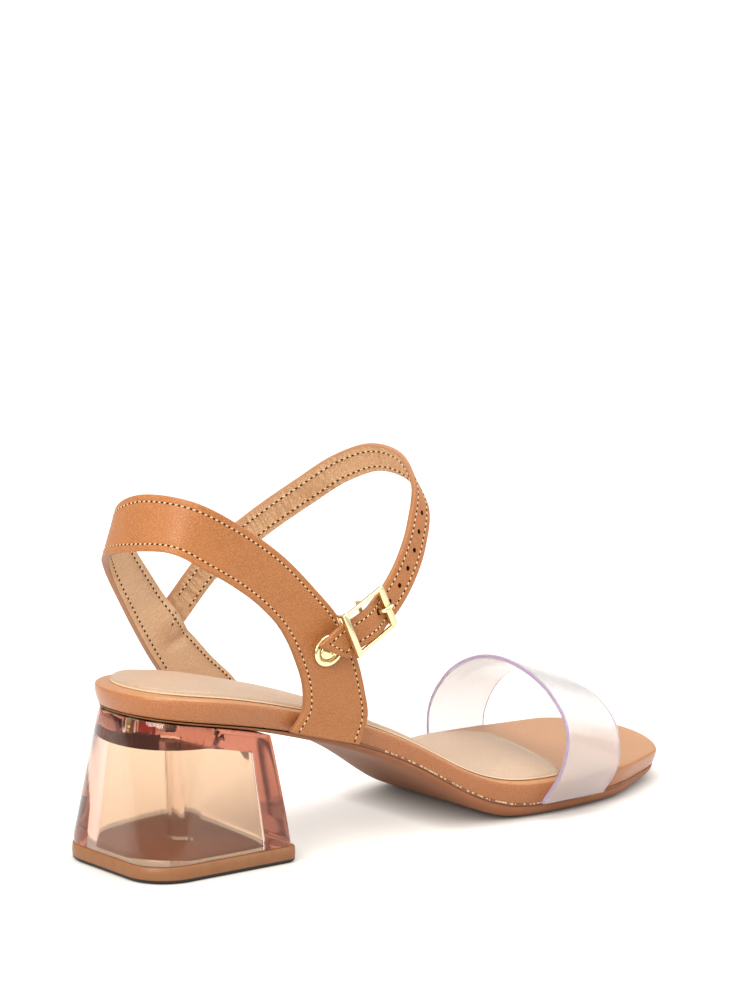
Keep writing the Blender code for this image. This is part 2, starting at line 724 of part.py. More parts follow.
def make_heel_tip():
    plan = heel_section(HEEL, 1.0)
    share = (plan[:, 0] - plan[:, 0].min()) / np.ptp(plan[:, 0])
    plan[:, 0] += TIP_REACH * share
    loops = [np.column_stack([drawn_in(plan, inset), np.full(len(plan), z)])
             for inset, z in zip(TIP_SIDE["inset"], TIP_SIDE["z"])]
    return stacked("heel_tip", loops, TIP_RUBBER, poles=False)


def make_screw(number, place):
    """A short ridged screw that stands in its pocket under the seat."""
    bottom = seat_height(place)[0] - SCREW_LENGTH - GAP
    steps = 2 * SCREW_RIDGES
    turn = np.linspace(0, 2 * math.pi, SCREW_SIDES, endpoint=False)
    rings = []
    for k in range(steps + 1):
        radius = SCREW_CORE if k % 2 else SCREW_RADIUS
        z = np.full(len(turn), bottom + SCREW_LENGTH * k / steps)
        rings.append(np.column_stack([place + radius * np.cos(turn), radius * np.sin(turn), z]))
    return swept(f"heel_screw_{number}", rings, STEEL)


for old in list(bpy.data.objects):
    bpy.data.objects.remove(old)

TAN_LEATHER = finish_of("tan_leather", (0.50, 0.20, 0.08), 0.5)
LINING = finish_of("beige_lining", (0.79, 0.55, 0.37), 0.6)
RUBBER = finish_of("sole_rubber", (0.26, 0.13, 0.09), 0.55)
VINYL = finish_of("clear_vinyl", (0.9, 0.85, 0.88), 0.15, transmission=0.9)
CLEAR_RESIN = finish_of("clear_resin", (0.95, 0.72, 0.55), 0.05, transmission=1.0)
TIP_RUBBER = finish_of("tip_rubber", (0.35, 0.19, 0.09), 0.6)
METAL = finish_of("pale_gold", (0.9, 0.75, 0.45), 0.2, metallic=1.0)
STEEL = finish_of("screw_steel", (0.5, 0.45, 0.35), 0.35, metallic=1.0)

FOOTBED_PLAN = plan_loop(FOOTBED, HEEL_ROUND, TOE_ROUND, HEEL_POWER, TOE_POWER)

# The part's own origin: on the floor, under the middle of the whole sandal
REAR_END = HEEL["rear"].min() + TIP_SIDE["inset"].min()
FRONT_END = FOOTBED["x"][-1]
VAMP_SIDES = np.concatenate(vamp_edges())[:, 1]
MIDDLE = ((REAR_END + FRONT_END) / 2, (VAMP_SIDES.min() + VAMP_SIDES.max()) / 2)
ROOT = bpy.data.objects.new("sandal", None)
ROOT.location = (-MIDDLE[0] * MM, -MIDDLE[1] * MM, 0.0)
bpy.context.collection.objects.link(ROOT)

make_outsole()
make_insole()
make_sock()
make_vamp()
make_ankle_strap()
make_buckle_frame()
make_prong()
make_eyelet()
make_heel()
make_heel_tip()
for number, place in enumerate(SCREW_PLACES, 1):
    make_screw(number, place)
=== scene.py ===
# %% [markdown]
# # Mid heel sandal: the looks
# The solids give this right-foot sandal its sizes and places. This lesson dresses them: leather straps with
# their stitches, a padded sock, a clear band over the toes, a clear hollow heel and gilt fittings.
# Each step says what the piece is on the real sandal, how it could be made, and why it is made this way.

# %% Load the solids
from math import cos, hypot, pi, radians, sin
import bmesh
import bpy
import numpy as np
from mathutils import Matrix, Vector
from mathutils.bvhtree import BVHTree


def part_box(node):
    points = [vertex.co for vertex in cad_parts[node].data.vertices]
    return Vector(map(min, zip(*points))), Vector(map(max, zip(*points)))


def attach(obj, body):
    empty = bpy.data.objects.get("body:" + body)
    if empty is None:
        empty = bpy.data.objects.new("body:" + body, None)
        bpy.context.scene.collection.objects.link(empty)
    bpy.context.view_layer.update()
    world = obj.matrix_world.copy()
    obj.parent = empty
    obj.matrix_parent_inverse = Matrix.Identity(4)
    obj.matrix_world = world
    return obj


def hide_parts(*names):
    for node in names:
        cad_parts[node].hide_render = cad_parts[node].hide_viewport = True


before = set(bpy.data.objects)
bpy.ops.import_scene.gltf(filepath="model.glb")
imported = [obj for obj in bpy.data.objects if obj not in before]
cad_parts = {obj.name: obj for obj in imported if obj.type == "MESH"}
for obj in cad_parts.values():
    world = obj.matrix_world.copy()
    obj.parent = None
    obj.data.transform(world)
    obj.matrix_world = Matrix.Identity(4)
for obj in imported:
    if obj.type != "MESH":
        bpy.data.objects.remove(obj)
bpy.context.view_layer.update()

MM = 0.001
print("solids:", ", ".join(sorted(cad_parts)))

# %% [markdown]
# A shoemaker measures a shoe in millimetres from the back of its heel. The same measure is handy here, with
# +y to the inner side of the foot and z up from the floor. The heel tip's box tells where that measure
# starts in the frame, so one function can turn shoe millimetres into places.

# %% The shoe's own measure
tip_low, tip_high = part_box("heel_tip")
TIP_BACK = -1.1
MEASURE_START = np.array((tip_low.x - TIP_BACK * MM, (tip_low.y + tip_high.y) / 2, 0.0))


def place(points):
    """Points in the shoe's millimetres, as places in the frame."""
    return np.asarray(points, float) * MM + MEASURE_START


print("measure starts at", MEASURE_START.round(4))

# %% [markdown]
# The camera stands low behind the outer side of the shoe, as for a shop picture. A long lens keeps the
# shape calm. Its place was found by fitting the sole, heel and straps to the picture.

# %% Camera
CAMERA_PLACE = (-656.0, -946.0, 319.4)
CAMERA_TURN = (80.4, 0.0, -39.027)
CAMERA_LENS = 128.2
camera = bpy.data.objects.new("camera", bpy.data.cameras.new("camera"))
camera.location = place(CAMERA_PLACE)
camera.rotation_euler = [radians(angle) for angle in CAMERA_TURN]
camera.data.lens = CAMERA_LENS
scene = bpy.context.scene
scene.collection.objects.link(camera)
scene.camera = camera
print("camera at", camera.location[:])

# %% [markdown]
# Colours are written as the hex values that a paint program shows. Shaders count light linearly, so one
# function turns them. A second one sets a node's inputs, and a third adds a node of any kind with them.

# %% Colour and nodes


def linear(hex_colour):
    """An sRGB hex colour as linear red, green, blue and alpha."""
    parts = [int(hex_colour[i:i + 2], 16) / 255 for i in (1, 3, 5)]
    return (*(p / 12.92 if p <= 0.04045 else ((p + 0.055) / 1.055) ** 2.4 for p in parts), 1.0)


def feed(node, inputs):
    """Gives each input named a value or a link; a node given as the value means its first output in use."""
    for name, value in inputs.items():
        if isinstance(value, bpy.types.Node):
            value = next(socket for socket in value.outputs if socket.enabled)
        if isinstance(value, bpy.types.NodeSocket):
            node.id_data.links.new(value, node.inputs[name])
        else:
            node.inputs[name].default_value = value


def add(material, kind, inputs=None, **settings):
    """One new shader node with its settings and inputs."""
    node = material.node_tree.nodes.new("ShaderNode" + kind)
    for name, value in settings.items():
        setattr(node, name, value)
    feed(node, inputs or {})
    return node


def new_finish(name):
    """An empty material and its Principled shader."""
    material = bpy.data.materials.new(name)
    material.use_nodes = True
    return material, material.node_tree.nodes["Principled BSDF"]


print("tan in linear light:", [round(c, 3) for c in linear("#be784b")])

# %% [markdown]
# The picture is high key: a white floor that runs out of the frame, and light from everywhere with a
# stronger soft source over the camera's left shoulder. Such pictures are taken on a light table, whose glow
# thins out the shadows. The floor is one big disc that glows for every ray but the matt ones, because a real
# glow would also light the shoe from below and flatten it. Close under the sole the glow fades, which
# leaves a contact shadow. The sky is brighter overhead than at the horizon, so tops are lighter than sides,
# and the softboxes are area lamps.

# %% Floor and light
FLOOR_RADIUS = 25.0
FLOOR_DROP = 0.1  # mm, so that the sole and the floor don't flicker
FLOOR_GLOW = 0.62
CONTACT_REACH = 13.0
SKY_LOW, SKY_HIGH = 0.5, 1.3


def as_mesh(name, bm):
    """A bmesh as a mesh."""
    mesh = bpy.data.meshes.new(name)
    bm.to_mesh(mesh)
    bm.free()
    return mesh


def show(name, bm):
    """A bmesh as an object in the scene."""
    obj = bpy.data.objects.new(name, as_mesh(name, bm))
    scene.collection.objects.link(obj)
    return obj


def softbox(name, spot, target, size, power, colour="#ffffff"):
    """A square lamp at a spot in shoe millimetres that faces a target."""
    lamp = bpy.data.lights.new(name, "AREA")
    lamp.energy = power
    lamp.size = size
    lamp.color = linear(colour)[:3]
    obj = bpy.data.objects.new(name, lamp)
    obj.location = place(spot)
    obj.rotation_euler = Vector(place(target) - place(spot)).to_track_quat("-Z", "Y").to_euler()
    scene.collection.objects.link(obj)


world = bpy.data.worlds.new("studio")
world.use_nodes = True
sky = add(world, "SeparateXYZ", {"Vector": add(world, "TexCoord").outputs["Generated"]})
sky = add(world, "MapRange", {"Value": sky.outputs["Z"], "To Min": SKY_LOW, "To Max": SKY_HIGH})
feed(world.node_tree.nodes["Background"], {"Color": linear("#fffcf7"), "Strength": sky})
scene.world = world
scene.view_settings.view_transform = "Standard"

softbox("key", (-900, -400, 800), (110, 0, 50), 0.6, 11.0, "#fff8ee")
softbox("top", (300, 60, 1100), (130, 0, 40), 0.8, 7.5)
softbox("fill", (750, -500, 450), (110, 0, 60), 0.6, 1.5)

floor_mesh = bmesh.new()
bmesh.ops.create_circle(floor_mesh, cap_ends=True, segments=64, radius=FLOOR_RADIUS,
                        matrix=Matrix.Translation((0, 0, -FLOOR_DROP * MM)))
floor = show("floor", floor_mesh)
paper, shader = new_finish("white light table")
ray = add(paper, "LightPath").outputs["Is Diffuse Ray"]
glow = add(paper, "Math", {0: ray, 1: -FLOOR_GLOW, 2: FLOOR_GLOW}, operation="MULTIPLY_ADD")
bare = add(paper, "AmbientOcclusion", {"Distance": CONTACT_REACH * MM}, samples=4)
glow = add(paper, "Math", {0: glow, 1: bare.outputs["AO"]}, operation="MULTIPLY")
feed(shader, {"Base Color": linear("#bcbab7"), "Roughness": 0.9, "Emission Color": linear("#fffaf4"),
              "Emission Strength": glow})
floor.data.materials.append(paper)
print("floor and softboxes are set")

# %% [markdown]
# Tan strap leather is dyed calf with a thin clear finish. Its grain is a net of fine furrows round pebbles
# under a millimetre across, with faint clouds of darker dye. Where a strap bends, short creases run across
# it. A Voronoi pattern gives the furrows, which darken the dye, and a second one stretched across the strap
# gives the creases, which are darkened as painted shade in their folds; both feed a shallow bump. Real calf
# pebbles are too fine to show in a picture of the whole shoe, so they are drawn coarser. Linings and sock
# are the same hide, undyed and matt, so one function makes them all.

# %% Leathers
DYE_CLOUD = 14.0  # mm across a cloud of darker dye
GRAIN_SWAY = 0.0006  # how far the furrows wander
FURROW_WIDTH = 0.2  # share of a pebble, or of the leather between two creases
FURROW_DYE = 0.45  # how much of the pebble's shade a furrow keeps
CREASED_CLOUD = (0.35, 0.6)  # creases deepen where the dye cloud is light
SMOOTH_TONE = 0.9  # what a crease keeps where it fades out
GRAIN_DEPTH = 0.12
GLOSS_SPREAD = 0.08


def leather(name, shades, grain_mm, relief, rough, coat, crease_mm=None, crease_shade=0.0):
    """Hide with pebbled grain: furrow, dark and light shade, pebble size, depth of grain, gloss.

    crease_mm is the size along and across a strap of its creases, which follow the strap's UV map, and
    crease_shade says how light the painted shade in them is."""
    furrow_shade, dark, light = (linear(shade) for shade in shades)
    material, shader = new_finish(name)
    coordinates = add(material, "TexCoord")
    where = coordinates.outputs["Object"]
    fine = 1 / (grain_mm * MM)
    cloud = add(material, "TexNoise", {"Vector": where, "Scale": 1 / (DYE_CLOUD * MM), "Detail": 5.0})
    sway = add(material, "TexNoise", {"Vector": where, "Scale": 0.7 * fine, "Detail": 2.0})
    warped = add(material, "Mix", {"Factor": GRAIN_SWAY, "A": where, "B": sway.outputs["Color"]},
                 data_type="VECTOR")
    pebble = add(material, "TexVoronoi", {"Vector": warped, "Scale": fine}, feature="DISTANCE_TO_EDGE")
    height = add(material, "MapRange", {"Value": pebble, "From Max": FURROW_WIDTH})
    tone = add(material, "MapRange", {"Value": height, "To Min": FURROW_DYE})
    if crease_mm:
        size = (1 / (crease_mm[0] * MM), 1 / (crease_mm[1] * MM), 1.0)
        strap_way = add(material, "Mapping", {"Vector": coordinates.outputs["UV"], "Scale": size})
        cell = add(material, "TexVoronoi", {"Vector": strap_way, "Scale": 1.0}, feature="DISTANCE_TO_EDGE")
        fade = add(material, "MapRange",
                   {"Value": cloud, "From Min": CREASED_CLOUD[0], "From Max": CREASED_CLOUD[1],
                    "To Min": SMOOTH_TONE, "To Max": crease_shade})
        crease = add(material, "MapRange", {"Value": cell, "From Max": FURROW_WIDTH, "To Min": fade})
        # A crease darkens the colour as painted shade in its fold, and cuts a groove into the bump
        height, tone = (add(material, "Math", {0: value, 1: crease}, operation="MULTIPLY")
                        for value in (height, tone))
    shade = add(material, "Mix", {"Factor": cloud, "A": dark, "B": light}, data_type="RGBA")
    dyed = add(material, "Mix", {"Factor": tone, "A": furrow_shade, "B": shade}, data_type="RGBA")
    bump = add(material, "Bump", {"Height": height, "Strength": relief, "Distance": GRAIN_DEPTH * MM})
    gloss = add(material, "MapRange",
                {"Value": cloud, "To Min": rough - GLOSS_SPREAD, "To Max": rough + GLOSS_SPREAD})
    feed(shader, {"Base Color": dyed, "Roughness": gloss, "Normal": bump, "Coat Weight": coat,
                  "Coat Roughness": 0.3, "Specular IOR Level": 0.35})
    return material


# Drum-dyed calf: a warm tan with a soft shine and fine short creases, darkened as painted shade
TAN = leather("tan calf leather", ("#9b5e31", "#b6743f", "#c78550"), 0.8, 0.6, 0.42, 0.12, (0.7, 1.7), 0.3)
# The same calf pulled tight round the board, where the finish shines more, and a paler copy on the
# footbed's top as a painted sheen of the light from above
BOARD_TAN = leather("tan wrap leather", ("#92552b", "#b46f3d", "#c27c49"), 0.8, 0.9, 0.42, 0.6)
PAINTED_SHEEN_TAN = leather("tan leather with painted top sheen", ("#976135", "#ba7f4b", "#c98e59"), 0.8, 0.9, 0.42, 0.6)
# Undyed lining hide: matt and pale, and wrinkled across where the narrow strap bends, the wrinkles
# darkened as painted shade
LINING = leather("beige lining leather", ("#c09973", "#dcb895", "#e7c8a9"), 0.7, 0.35, 0.6, 0.0,
                 (1.2, 5.0), 0.5)
BENT_LINING = leather("creased lining leather", ("#a97a50", "#e4b88f", "#efc7a0"), 0.7, 0.9, 0.6, 0.0,
                      (2.0, 14.0), 0.15)
# Padded sock hide: greyer beige with a little polish
SOCK = leather("beige sock leather", ("#a0846b", "#b99e87", "#c5ac96"), 0.8, 0.45, 0.5, 0.1)
print("leathers:", TAN.name, LINING.name, SOCK.name)

# %% [markdown]
# Cut leather edges are sealed with thick brown paint, and the thread is waxed polyester in cream. Where the
# needle went in, a dark mark stands for the small hole and paints the shade where the thread sinks in.
# These three are plain finishes with a little noise, so they show no grain but still vary.

# %% Edge paint, thread and needle holes
PATCH_DEPTH = 0.1
PATCH_RELIEF = 0.2


def plain_finish(name, dark, light, patch_mm, rough, **sockets):
    """A finish with soft patches of two shades; sockets sets the shader's other inputs."""
    material, shader = new_finish(name)
    where = add(material, "TexCoord").outputs["Object"]
    patch = add(material, "TexNoise", {"Vector": where, "Scale": 1 / (patch_mm * MM), "Detail": 4.0})
    shade = add(material, "Mix", {"Factor": patch, "A": linear(dark), "B": linear(light)}, data_type="RGBA")
    bump = add(material, "Bump", {"Height": patch, "Strength": PATCH_RELIEF, "Distance": PATCH_DEPTH * MM})
    feed(shader, {"Base Color": shade, "Normal": bump, "Roughness": rough,
                  **{name.replace("_", " "): value for name, value in sockets.items()}})
    return material


# Satin paint, twisted thread with a waxy sheen, and a near-black matt finish as painted shade in the holes
EDGE_PAINT = plain_finish("brown edge paint", "#96643f", "#ab7851", 4.0, 0.42)
THREAD = plain_finish("waxed cream thread", "#dcb78d", "#eccea6", 0.6, 0.6)
NEEDLE_HOLE_SHADE = plain_finish("needle hole with painted shade", "#3a1d0c", "#4a2a14", 1.0, 0.8, Specular_IOR_Level=0.1)
print("sewing finishes are set")

# %% [markdown]
# The outsole is moulded rubber. The heel tip is a harder rubber with a black walking layer, drawn taller so
# that it also paints the contact shadow under the tip. Its top inside the heel is paler, as painted light
# where little light comes in through the clear heel. All have a faint moulding texture. The sock's raw edge
# is a cream foam. They use the same plain finish with other shades.

# %% Rubber and foam
# Dull moulded rubbers: the tip's top paler as painted light, its black walking layer also a painted
# contact shadow; and an open foam edge
SOLE_RUBBER = plain_finish("moulded sole rubber", "#9c6648", "#ae7557", 6.0, 0.5, Specular_IOR_Level=0.12)
TIP_RUBBER = plain_finish("hard heel rubber", "#875834", "#9b683f", 3.0, 0.45)
TIP_TOP_PAINTED_LIGHT = plain_finish("heel rubber with painted light on top", "#a4673a", "#bb7a44", 3.0, 0.6)
TIP_TREAD_AND_SHADOW = plain_finish("black tread rubber and painted contact shadow", "#1c1512", "#2a201b", 2.0, 0.6)
RAW_EDGE = plain_finish("cream foam edge", "#d3b494", "#e2c9ac", 1.5, 0.8)
print("rubbers are set")

# %% [markdown]
# The fittings are zinc castings with a pale gilt plating, polished. The screws in the heel are plated
# steel. A metal's colour is its reflection, so these have a metallic value of one and a low roughness.

# %% Metals
# Bright mirror gilt, and a duller steel that is warm from the resin round it
GILT = plain_finish("pale gilt plating", "#e9d8a6", "#f4e7c0", 5.0, 0.16, Metallic=1.0)
SCREW_STEEL = plain_finish("plated screw steel", "#b9a07c", "#cbb796", 2.0, 0.32, Metallic=1.0)
print("metals are set")

# %% [markdown]
# The toe band is clear flexible vinyl with a slight haze and a lilac tint at its cut edges, where the eye
# looks along the sheet. Rubbing leaves it faint streaks along the band. The heel is clear moulded resin with
# a warm tint. Its colour lies in its depth: thin walls are nearly clear and long ways through it turn rose,
# which an absorbing volume gives by itself. Both have the slow, shallow waves of a moulded face.

# %% Clear vinyl and clear resin
HAZE_REACH = (0.4, 0.75)
HAZE_GAIN = 1.8


def clear_finish(name, colour, rough, ior, transmission, streak_mm, streak_depth, way="Object"):
    """Clear plastic with streaks of the given size: haze where they lie, and a bump streak_depth mm deep."""
    material, shader = new_finish(name)
    where = add(material, "TexCoord").outputs[way]
    size = [1 / (length * MM) for length in streak_mm]
    stretched = add(material, "Mapping", {"Vector": where, "Scale": size})
    streak = add(material, "TexNoise", {"Vector": stretched, "Scale": 1.0, "Detail": 3.0})
    haze = add(material, "MapRange",
               {"Value": streak, "From Min": HAZE_REACH[0], "From Max": HAZE_REACH[1],
                "To Min": rough, "To Max": rough * HAZE_GAIN})
    bump = add(material, "Bump", {"Height": streak, "Strength": 1.0, "Distance": streak_depth * MM})
    feed(shader, {"Roughness": haze, "Normal": bump, "Base Color": linear(colour), "IOR": ior,
                  "Transmission Weight": transmission})
    return material


# Rolled vinyl: a milky gleam on the sheet and a lilac line at the cut
VINYL = clear_finish("clear vinyl", "#fbfcff", 0.14, 1.53, 0.8, (14.0, 0.7, 1.0), 0.05, way="UV")
VINYL_EDGE = clear_finish("cut vinyl edge", "#bfa6cc", 0.35, 1.53, 0.6, (3.0, 3.0, 3.0), 0.02)

# Moulded acrylic: glass-clear, and a deeper rose the longer the way through it
RESIN_ROUGH = 0.015
RESIN_TINT = linear("#dd9559")
RESIN_DENSITY = 45.0
RESIN = clear_finish("clear tinted resin", "#ffffff", RESIN_ROUGH, 1.49, 1.0, (9.0, 9.0, 30.0), 0.01)
depth = add(RESIN, "VolumeAbsorption", {"Color": RESIN_TINT, "Density": RESIN_DENSITY})
resin_nodes = RESIN.node_tree.nodes
feed(resin_nodes["Material Output"], {"Volume": depth})

# The heel's seat is glued to the sole: the piece marks its top, and cement coats it in patches
CEMENT_PATCH = 9.0
CEMENT_SPREAD = (0.45, 0.55)
spread = add(RESIN, "TexNoise", {"Vector": add(RESIN, "TexCoord").outputs["Object"],
                                 "Scale": 1 / (CEMENT_PATCH * MM), "Detail": 1.0})
spread = add(RESIN, "MapRange",
             {"Value": spread, "From Min": CEMENT_SPREAD[0], "From Max": CEMENT_SPREAD[1]})
cement = add(RESIN, "Mix",
             {"Factor": spread, "A": linear("#98825a"), "B": linear("#dcdcb4")}, data_type="RGBA")
glued = add(RESIN, "Attribute", attribute_name="glued_face").outputs["Fac"]
see_through = add(RESIN, "MapRange", {"Value": glued, "To Min": 1.0, "To Max": 0.0})

# The hollow's walls come rough off their core, with a warm lacquer on them; these faces are marked too
CORE_ROUGH = 0.12
inner = add(RESIN, "Attribute", attribute_name="inner_face").outputs["Fac"]
lacquer = add(RESIN, "Mix", {"Factor": inner, "A": linear("#ffffff"), "B": linear("#ece4ca")},
              data_type="RGBA")
frost = add(RESIN, "MapRange", {"Value": inner, "To Min": RESIN_ROUGH, "To Max": CORE_ROUGH})
coat = add(RESIN, "Mix", {"Factor": glued, "A": lacquer, "B": cement}, data_type="RGBA")
feed(resin_nodes["Principled BSDF"], {"Base Color": coat, "Roughness": frost,
                                      "Transmission Weight": see_through})

# Light turns back many times inside the heel before it comes out, so its paths may be longer than usual
LIGHT_TURNS = 24
paths = scene.cycles
paths.max_bounces = paths.glossy_bounces = paths.transmission_bounces = LIGHT_TURNS
print("clear finishes are set")

# %% [markdown]
# Every piece ends the same way: its mesh becomes an object, takes its finishes, rides on the sandal, and
# hides the solid it stands for. One function does that for all of them. Two more apply a piece's modifiers
# and lay a subdivision surface over it.

# %% Making a piece
ROUND_LEVELS = 2


def piece(name, bm, finishes, nodes=()):
    """Turns a bmesh into a named piece with its finishes, which rides on the sandal."""
    obj = show(name, bm)
    obj.data.shade_smooth()
    for finish in finishes:
        obj.data.materials.append(finish)
    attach(obj, "root")
    if nodes:
        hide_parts(*nodes)
    print(name, "has", len(obj.data.polygons), "faces")
    return obj


def settle(obj, crease=35):
    """Applies the piece's modifiers and keeps edges sharper than crease sharp."""
    graph = bpy.context.evaluated_depsgraph_get()
    made = bpy.data.meshes.new_from_object(obj.evaluated_get(graph))
    obj.modifiers.clear()
    obj.data = made
    made.shade_smooth()
    made.set_sharp_from_angle(angle=radians(crease))
    return obj


def round_off(obj):
    """A subdivision surface over the piece."""
    smooth = obj.modifiers.new("round", "SUBSURF")
    smooth.levels = smooth.render_levels = ROUND_LEVELS
    return obj


# %% [markdown]
# The insole board, the outsole and the padded sock are soft rounded forms whose solids are already right but
# coarse. A copy of each solid is welded, its triangles are paired back to quads, and a subdivision surface
# rounds it. Modelling them again would only risk another outline.

# %% Footbed
WELD = 0.01
FLAT_ENOUGH, SQUARE_ENOUGH = radians(40), radians(60)
CREASE = 0.9
CREASE_ANGLE = radians(35)


def crease_edges(bm, weight):
    """Keeps edges crisp under a subdivision surface where the form turns sharply."""
    crease = bm.edges.layers.float.new("crease_edge")
    for edge in bm.edges:
        edge[crease] = weight if edge.calc_face_angle() > CREASE_ANGLE else 0.0


def from_solid(node, pair=True):
    """A welded copy of a solid, with its triangles paired to quads where they lie flat enough."""
    bm = bmesh.new()
    bm.from_mesh(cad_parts[node].data)
    bmesh.ops.remove_doubles(bm, verts=bm.verts, dist=WELD * MM)
    if pair:
        bmesh.ops.join_triangles(bm, faces=bm.faces, angle_face_threshold=FLAT_ENOUGH,
                                 angle_shape_threshold=SQUARE_ENOUGH)
        crease_edges(bm, CREASE)
    return bm


BOARD_SEAT = 0.27  # the glued board comes down on the sole, so that no gap shows
SHEEN_TOP_FACING = 0.7  # the footbed's top takes a paler copy of the wrap leather, a painted sheen of the light from above
UNDER_FACING = -0.5
board_mesh = from_solid("insole")
board_mesh.normal_update()
# Faces that look up take the paler copy: a painted sheen, not a different leather
for face in board_mesh.faces:
    face.material_index = 1 if face.normal.z > SHEEN_TOP_FACING else 0
for vert in board_mesh.verts:
    if vert.normal.z < UNDER_FACING:
        vert.co.z -= BOARD_SEAT * MM
round_off(piece("insole_board", board_mesh, [BOARD_TAN, PAINTED_SHEEN_TAN], ["insole"]))
round_off(piece("outsole_sheet", from_solid("outsole"), [SOLE_RUBBER], ["outsole"]))

# %% [markdown]
# The sock is glued on: its skived edge is thin and lies on the board, and the foam under its middle swells
# it. A cloth simulation would smooth the thin edge away, so the copy of the solid is reshaped directly: a ray
# straight down finds the board under each point, and the height above the board is then thinned or swelled.

# %% Padded sock
SOLID_HEIGHTS = (0.0, 0.3, 1.38, 1.48, 1.6, 3.0, 5.0)
SOCK_HEIGHTS = (0.0, -0.2, 0.75, 1.55, 2.2, 3.6, 5.4)
SIDE_FACING = 0.5
RAY_START, RAY_WAY = Vector((0, 0, 50 * MM)), Vector((0, 0, -1))
sock_mesh = from_solid("sock_pad")
for face in sock_mesh.faces:
    face.material_index = 1 if abs(face.normal.z) < SIDE_FACING else 0
board_shape = from_solid("insole")
board = BVHTree.FromBMesh(board_shape)
for vert in sock_mesh.verts:
    ground = board.ray_cast(vert.co + RAY_START, RAY_WAY)[0].z
    vert.co.z = ground + np.interp((vert.co.z - ground) / MM, SOLID_HEIGHTS, SOCK_HEIGHTS) * MM
sock = round_off(piece("padded_sock", sock_mesh, [SOCK, RAW_EDGE], ["sock_pad"]))

# %% [markdown]
# The joint of board and sole is closed with brown cement, and where the sole was pressed on, a little glue
# came out on the outer side and dried as cream flecks. Both are small flat beads along the lower rim of the
# board, which is quicker than modelling a ragged line: the cement's beads overlap to a line, and the flecks
# are strewn by a seeded chance.

# %% Cement line and glue flecks
# Sole cement: a dull brown film
CEMENT = plain_finish("brown sole cement", "#7a4a2d", "#8f5b3a", 2.0, 0.5)
CEMENT_REACH = (62.0, 222.0)
CEMENT_BEAD = (2.6, 1.1, 0.7)
JOINT_DROP = 0.5  # the open joint lies a little under the rim
CEMENT_STEP = 0.9
RIM_FACING = -0.7
# Dried glue: chalky cream crumbs
GLUE = plain_finish("dried cream glue", "#c9a985", "#e6d0b4", 0.6, 0.5)
GLUE_REACH = (96.0, 172.0)
GLUE_COUNT = 76
GLUE_LIFT = 0.25
GLUE_SIZES = ((0.4, 0.6, 0.85), (1.7, 0.95, 1.1))
chance = np.random.default_rng(7)


def bead(size, segments, rings):
    """A small rounded grain, long, wide and high as given in mm."""
    bm = bmesh.new()
    bmesh.ops.create_uvsphere(bm, u_segments=segments, v_segments=rings, radius=0.5)
    bmesh.ops.scale(bm, verts=bm.verts, vec=Vector(size) * MM)
    return as_mesh("bead", bm)


def set_down(bm, shape, material_index, spot, along, out, lean=0.0):
    """Adds a copy of the shape at a spot, turned along the seam and flat on the leather."""
    side = np.cross(out, along)
    turn = Matrix((along, side, out)).transposed().to_4x4()
    grain = shape.copy()
    grain.transform(Matrix.Translation(spot) @ turn @ Matrix.Rotation(lean, 4, "Z"))
    for polygon in grain.polygons:
        polygon.material_index = material_index
    bm.from_mesh(grain)
    bpy.data.meshes.remove(grain)


def read_line(where, run, line):
    """Points of a line, read at runs along it."""
    return np.stack([np.interp(where, run, line[:, k]) for k in range(3)], axis=-1)


def on_rim(x):
    """A spot on the rim of the board, with the directions along the rim and out of it."""
    spot, ahead = read_line((x, x + MM), rim[:, 0], rim)
    along = (ahead - spot) / np.linalg.norm(ahead - spot)
    out = np.cross(np.cross(along, (0, -1, 0)), along)
    return spot, along, out / np.linalg.norm(out)


reaches = place([(x, 0, 0) for x in CEMENT_REACH + GLUE_REACH])[:, 0]
reach_low, reach_high, glue_low, glue_high = reaches
rim = []
for vert in board_shape.verts:
    facing = [face.normal.z for face in vert.link_faces]
    if reach_low < vert.co.x < reach_high and vert.co.y < 0 and min(facing) < RIM_FACING < max(facing):
        rim.append(tuple(vert.co))
board_shape.free()
rim = np.array(sorted(rim)) - (0, 0, JOINT_DROP * MM)
glue = bmesh.new()
cement_bead = bead(CEMENT_BEAD, 6, 4)
for x in np.arange(rim[0, 0], rim[-1, 0] - MM, CEMENT_STEP * MM):
    set_down(glue, cement_bead, 1, *on_rim(x))
for x in np.sort(chance.uniform(glue_low, glue_high, GLUE_COUNT)):
    size = chance.uniform(*GLUE_SIZES)
    spot, along, out = on_rim(x)
    set_down(glue, bead(size, 6, 4), 0, spot + (0, 0, GLUE_LIFT * MM), along, out)
piece("glue_flecks", glue, [GLUE, CEMENT])

# %% [markdown]
# A strap is a strip of leather between two edge lines. A short table gives the edge lines, and a smooth
# curve runs through its rows. The strip is pulled along by extruding one row of edges from station to
# station, and a wall modifier then gives it thickness with a lining inside and painted edges.

# %% Straps as strips


def curve_at(knots, rows, where):
    """A smooth cubic curve through the rows, read at the places given."""
    knots, rows = np.asarray(knots, float), np.asarray(rows, float)
    step = np.diff(knots)[:, None]
    chord = np.diff(rows, axis=0) / step
    slope = (step[1:] * chord[:-1] + step[:-1] * chord[1:]) / (step[1:] + step[:-1])
    slope = np.concatenate([chord[:1], slope, chord[-1:]])
    span = np.clip(np.searchsorted(knots, where, side="right") - 1, 0, len(knots) - 2)
    width = step[span]
    t = (np.asarray(where) - knots[span])[:, None] / width
    return ((1 + 2 * t) * (1 - t) ** 2 * rows[span] + t * (1 - t) ** 2 * width * slope[span]
            + t * t * (3 - 2 * t) * rows[span + 1] - t * t * (1 - t) * width * slope[span + 1])


def run_of(points):
    """How far along a line each of its points lies."""
    return np.concatenate([[0], np.cumsum(np.linalg.norm(np.diff(points, axis=0), axis=1))])


